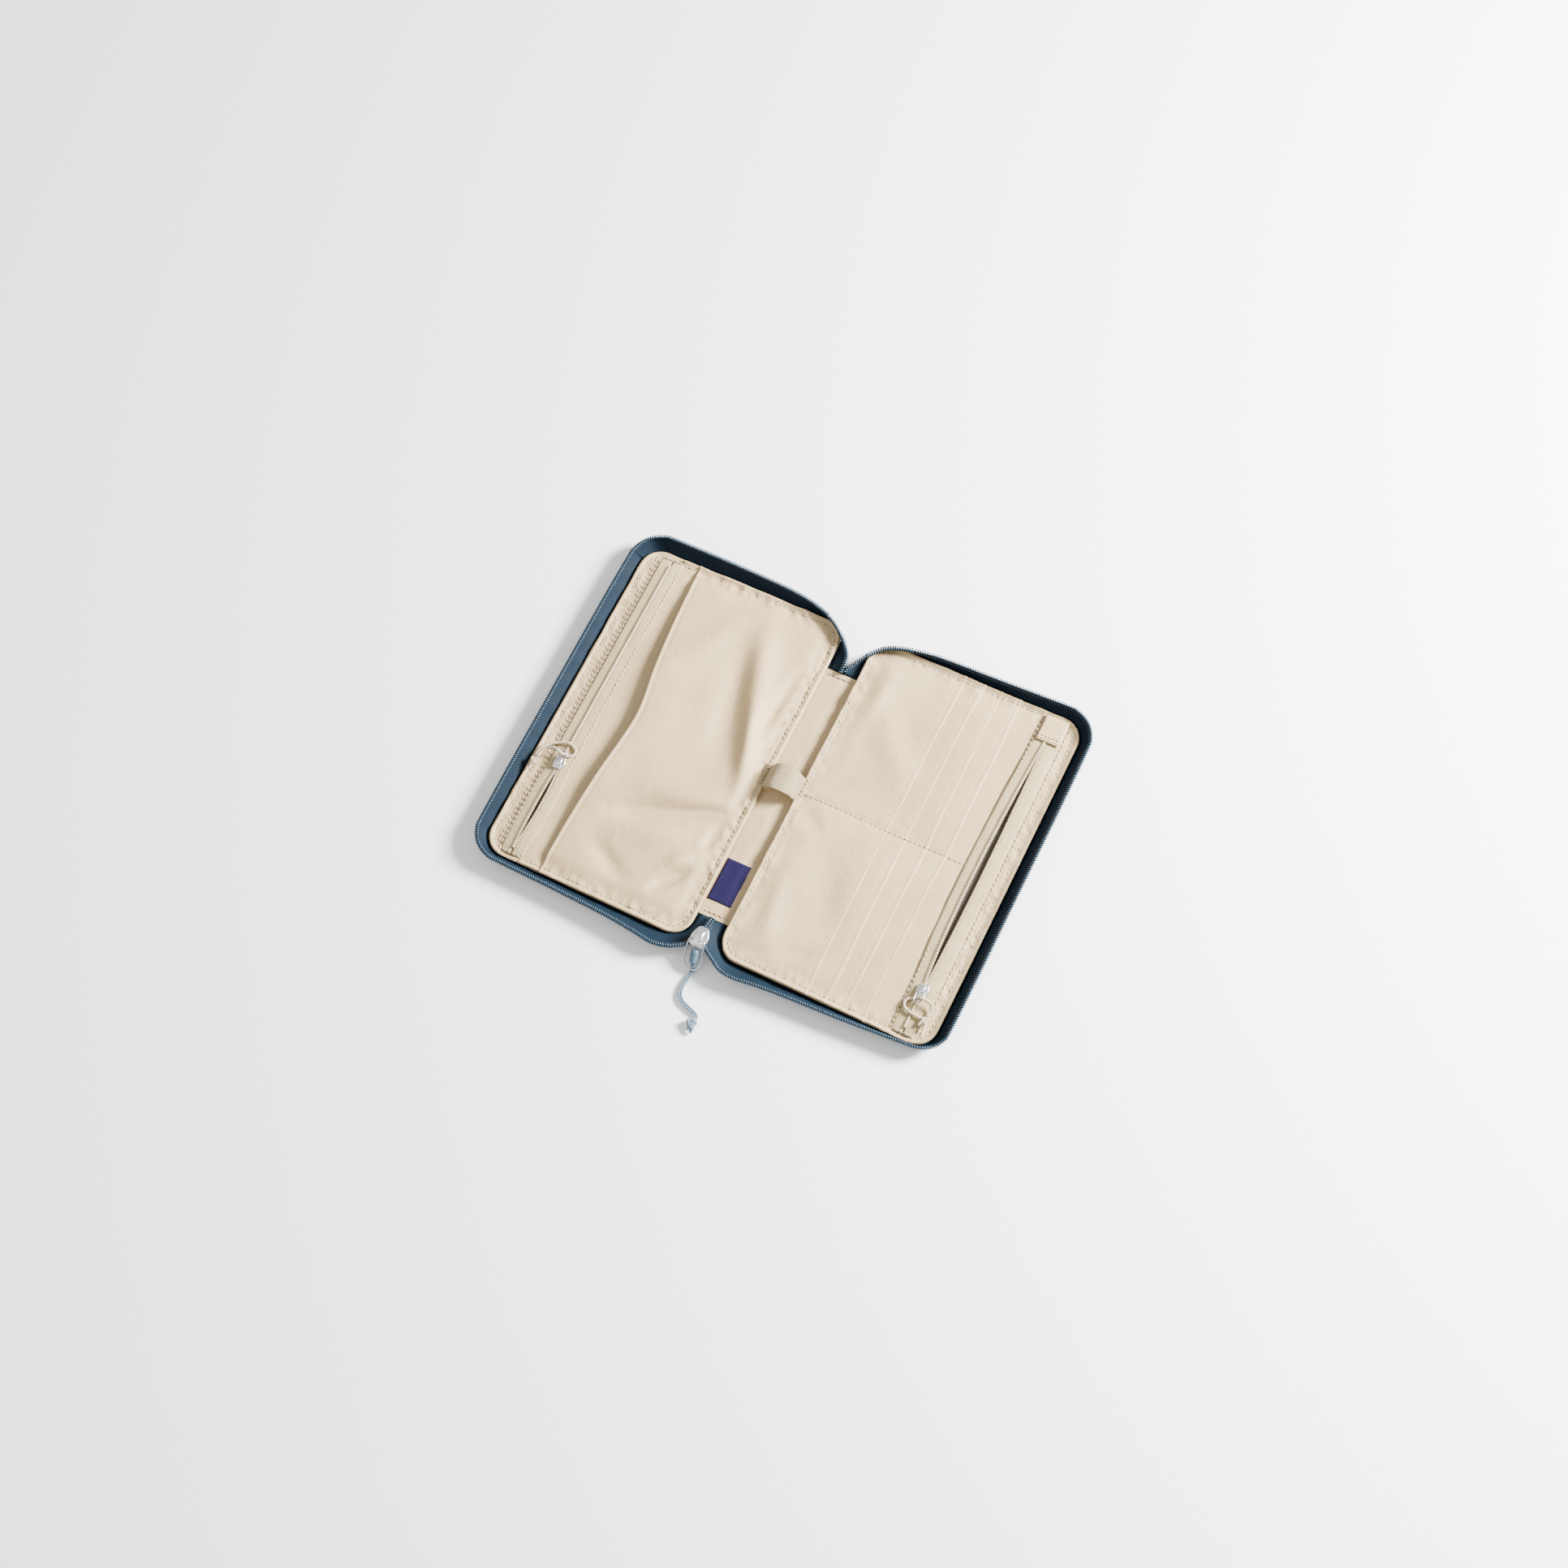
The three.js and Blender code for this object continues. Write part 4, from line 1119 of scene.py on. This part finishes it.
for t in (-2.2, -1.0, 0.2):
    round_points = [
        SLEEVE_MIDDLE + SLEEVE_AXIS * t + RIDGE_R * (math.cos(a) * RIDGE_X + math.sin(a) * RIDGE_Y)
        for a in np.linspace(0, TAU, 14, endpoint=False)
    ]
    ridges.append(tube(smooth_line(round_points, 0.9, True), 0.32, 6, True))
sleeve = piece("main_sleeve", merged([sleeve_shape, *ridges]), SLEEVE)
belongs(sleeve, "main_pull", "sleeve_plastic", "main_pull_sleeve")
SMALL_PIVOT = 6.55
EYE = [
    (0.9, 0, 0), (1.75, 0.6, 0.0), (2.05, 2.8, 0.3), (1.9, 5.2, 0.55), (1.1, 6.6, 0.7), (0, 7.0, 0.75),
    (-1.1, 6.6, 0.7), (-1.9, 5.2, 0.55), (-2.05, 2.8, 0.3), (-1.75, 0.6, 0.0), (-0.9, 0, 0),
]
for word, at, nose in (("coin", COIN_AT, 1), ("note", NOTE_AT, -1)):
    line = smooth_line([at + (x, nose * y, SMALL_PIVOT + z) for x, y, z in EYE], 0.45, True)
    eye = piece(f"{word}_eye", tube(line, 0.38, 8, True), STEEL)
    belongs(eye, f"{word}_pull", "wire_steel", f"{word}_pull_eye")

# Spine fittings: the plain woven label across the spine, and the elastic pen loop, sewn down on both
# halves. The loop is in two pieces that meet at its top.
LABEL = woven("label", (0.006, 0.004, 0.024), (0.014, 0.010, 0.046), ribbed, 0.00005, 0.6, 0.0, 0.12)


def waffle(x, y, z):
    """Elastic webbing: small square knots of thread."""
    return (z * 0.8 - x.math("ABSOLUTE", x)).wave(0.0014) * (y + z * 0.1).wave(0.0013)


WEBBING = woven("webbing", (0.09, 0.062, 0.026), (0.58, 0.46, 0.265), waffle, 0.0002, 0.8)
x, y = np.meshgrid(np.linspace(-8.4, 5.2, 20), np.linspace(-71.0, -46.8, 28))
label_z = 1.62 + 0.1 * ruffle(x, y, 12, 13.0) + 0.2 * np.exp(-((x / 3) ** 2))
label = piece("spine_label", cloth(np.stack([x, y, label_z], -1), 0.28), LABEL)
bends(label, -1, "label_weave", "side_label")
LOOP_SECTION = [
    (13.0, 4.2), (11.8, 4.5), (10.6, 4.7), (9.5, 5.4), (8.5, 7.0),
    (7.5, 9.0), (6.2, 10.8), (4.4, 12.0), (2.2, 12.65), (0, 12.8),
]
LOOP_MIDDLE, LOOP_HALF = 1.95, 6.95
for side, word in ((-1, "left"), (1, "right")):
    section = smooth_line([(x, z, 0) for x, z in LOOP_SECTION[::-1]], 0.5)[:, :2]
    y = np.linspace(-5.0, 8.9, 15)
    along, across = np.meshgrid(np.arange(len(section)), y)
    x, z = section[:, 0][along], section[:, 1][along]
    narrow = 1 + 0.05 * np.cos(x / 13 * math.pi)
    shift = (across - LOOP_MIDDLE) * narrow + LOOP_MIDDLE
    z = z - 0.5 * ((across - LOOP_MIDDLE) / LOOP_HALF) ** 4 * np.clip(x / 8, 0.2, 1)
    top = np.stack([side * x, shift, z], -1)
    loop = piece(f"{word}_pen_loop", cloth(top[:, ::side], 0.85), WEBBING, True)
    bends(loop, side, "elastic_webbing", *(["pen_loop"] if side < 0 else []))

# Stitching: rows of short thread stitches, with a small dark piece of painted shade in the needle hole
# between each two. Each row follows the top of the cloth that it holds.
THREAD = plastic("thread", (0.42, 0.33, 0.20), (0.56, 0.46, 0.30), 0.7)
# Painted shade: this dark colour stands for the shade inside each needle hole.
NEEDLE_HOLE_SHADE = plastic("needle_hole_painted_shade", (0.05, 0.034, 0.018), (0.085, 0.06, 0.034), 0.9)
STITCH_LONG, STITCH_GAP, THREAD_R = 2.1, 0.8, 0.27
TAPE_SEAM = 121.7


def stitch(length, radius):
    """One stitch along Y, sunk at both ends."""
    half, deep, high = length / 2, -radius * 1.2, 0.3 * radius
    line = [(0, -half, deep), (0, -half * 0.6, high), (0, half * 0.6, high), (0, half, deep)]
    return tube(line, [radius * 0.6, radius, radius, radius * 0.6], 5)


def stitched(name, lines, body, slot, long=STITCH_LONG, gap=STITCH_GAP):
    """Rows of stitches as one piece, and a dark mark of painted shade in each needle hole between them as
    another.
    """
    thread, hole_shades = [], []
    for line in lines:
        step = long + gap
        even = smooth_line(line, step / 2)
        ahead, across, upward = frames_along(even, upright=(0, 0, 1))
        lifted = even + (0, 0, THREAD_R * 0.5)
        shape = stitch(long, THREAD_R)
        thread.append(copies(shape, lifted[0::2], across[0::2], ahead[0::2], upward[0::2]))
        # A small dark tube in each needle hole, as painted shade.
        hole = tube([(0, -gap * 0.55, 0), (0, gap * 0.55, 0)], THREAD_R * 0.85, 5)
        low = even - (0, 0, THREAD_R * 0.45)
        hole_shades.append(copies(hole, low[1::2], across[1::2], ahead[1::2], upward[1::2]))
    belongs(piece(name, merged(thread), THREAD), body, slot)
    belongs(piece(f"{name}_holes", merged(hole_shades), NEEDLE_HOLE_SHADE), body, slot)


def surface_left(x, y):
    """The height of the left half's topmost cloth."""
    below = np.where((x < COIN_INNER) | (x > COIN_OUTER), coin_height(x, y), ZIP_TOP - 0.5)
    return np.where(x < interp(y, PASSPORT_FREE), passport_height(x, y), below)


def surface_right(x, y):
    """The height of the right half's topmost cloth."""
    height = np.where((x < NOTE_INNER) | (x > NOTE_OUTER), panel_height(x, y), ZIP_TOP - 0.5)
    for number in (3, 2, 1, 0):
        height = np.where(x < SLOT_EDGES[number], slot_height(number, x, y), height)
    return height


def on_surface(side, x, y):
    """Points of a line at the height of a half's topmost cloth."""
    surface = surface_left if side < 0 else surface_right
    x, y = (np.asarray(v, float) for v in np.broadcast_arrays(x, y))
    return np.stack([side * x, y, surface(x, y)], -1)


def border(inside):
    """A line round a panel, that far in from its edge. It starts and ends beside the spine."""
    r = CORNER - inside
    a = np.linspace(0, math.pi / 2, 8)
    top, bottom = PANEL_END - CORNER, -(PANEL_END - CORNER)
    out, near = PANEL_OUT - CORNER, PANEL_IN + CORNER
    x = [near - r * np.cos(a), np.linspace(near + 2, out - 2, 70), out + r * np.sin(a), np.full(90, out + r)]
    y = [top + r * np.sin(a), np.full(70, top + r), top + r * np.cos(a), np.linspace(top - 2, bottom + 2, 90)]
    x += [out + r * np.cos(a), np.linspace(out - 2, near + 2, 70), near - r * np.sin(a)]
    y += [bottom - r * np.sin(a), np.full(70, bottom - r), bottom - r * np.cos(a)]
    return np.concatenate(x), np.concatenate(y)


for side, word, edges in ((-1, "left", (108.4, 121.6, 123.6)), (1, "right", (108.2, 121.8, 123.8))):
    rows = [on_surface(side, *border(3.3))]
    y = np.linspace(-84, 84, 150)
    rows.append(on_surface(side, np.full(150, 11.6), y))
    y = np.linspace(-92, 92, 150)
    for x in edges:
        line = on_surface(side, np.full(150, x), y)
        dip = 0.5 * np.clip((np.abs(y) - 86) / 6, 0, 1)
        line[:, 2] = np.where(x < TAPE_SEAM, ZIP_TOP - 0.42 - dip, line[:, 2])
        rows.append(line)
    stitched(f"{word}_seams", rows, f"{word}_half", "lining_fabric")
rows = [on_surface(1, np.linspace(11.8, 107.5, 110), 0.5 + 0.25 * np.sin(np.linspace(0, 9, 110)))]
stitched("slot_seam", rows, "right_half", "lining_fabric")
rows = [
    [(110.4, 80.9, ZIP_TOP + 1.05), (112.4, 80.9, ZIP_TOP + 1.1), (121.8, 80.9, ZIP_TOP + 1.05)],
    [(110.4, 82.6, ZIP_TOP + 0.98), (116, 82.6, ZIP_TOP + 0.98), (121.8, 82.6, ZIP_TOP + 0.98)],
]
stitched("patch_seams", rows, "right_half", "lining_fabric", 1.5, 0.5)
hems = [[(-6.0, y, 1.3), (0, y, 1.6), (6.0, y, 1.3)] for y in (HEM_BOTTOM + 2.6, HEM_TOP - 2.6)]
stitched("hem_seams", hems, "root", "lining_fabric")
for side, word in ((-1, "left"), (1, "right")):
    rows = [[(side * 11.0, -4.6, 4.95), (side * 11.0, 2, 5.0), (side * 11.0, 8.5, 4.95)]]
    stitched(f"{word}_loop_seam", rows, f"{word}_half", "elastic_webbing", 1.6, 0.5)
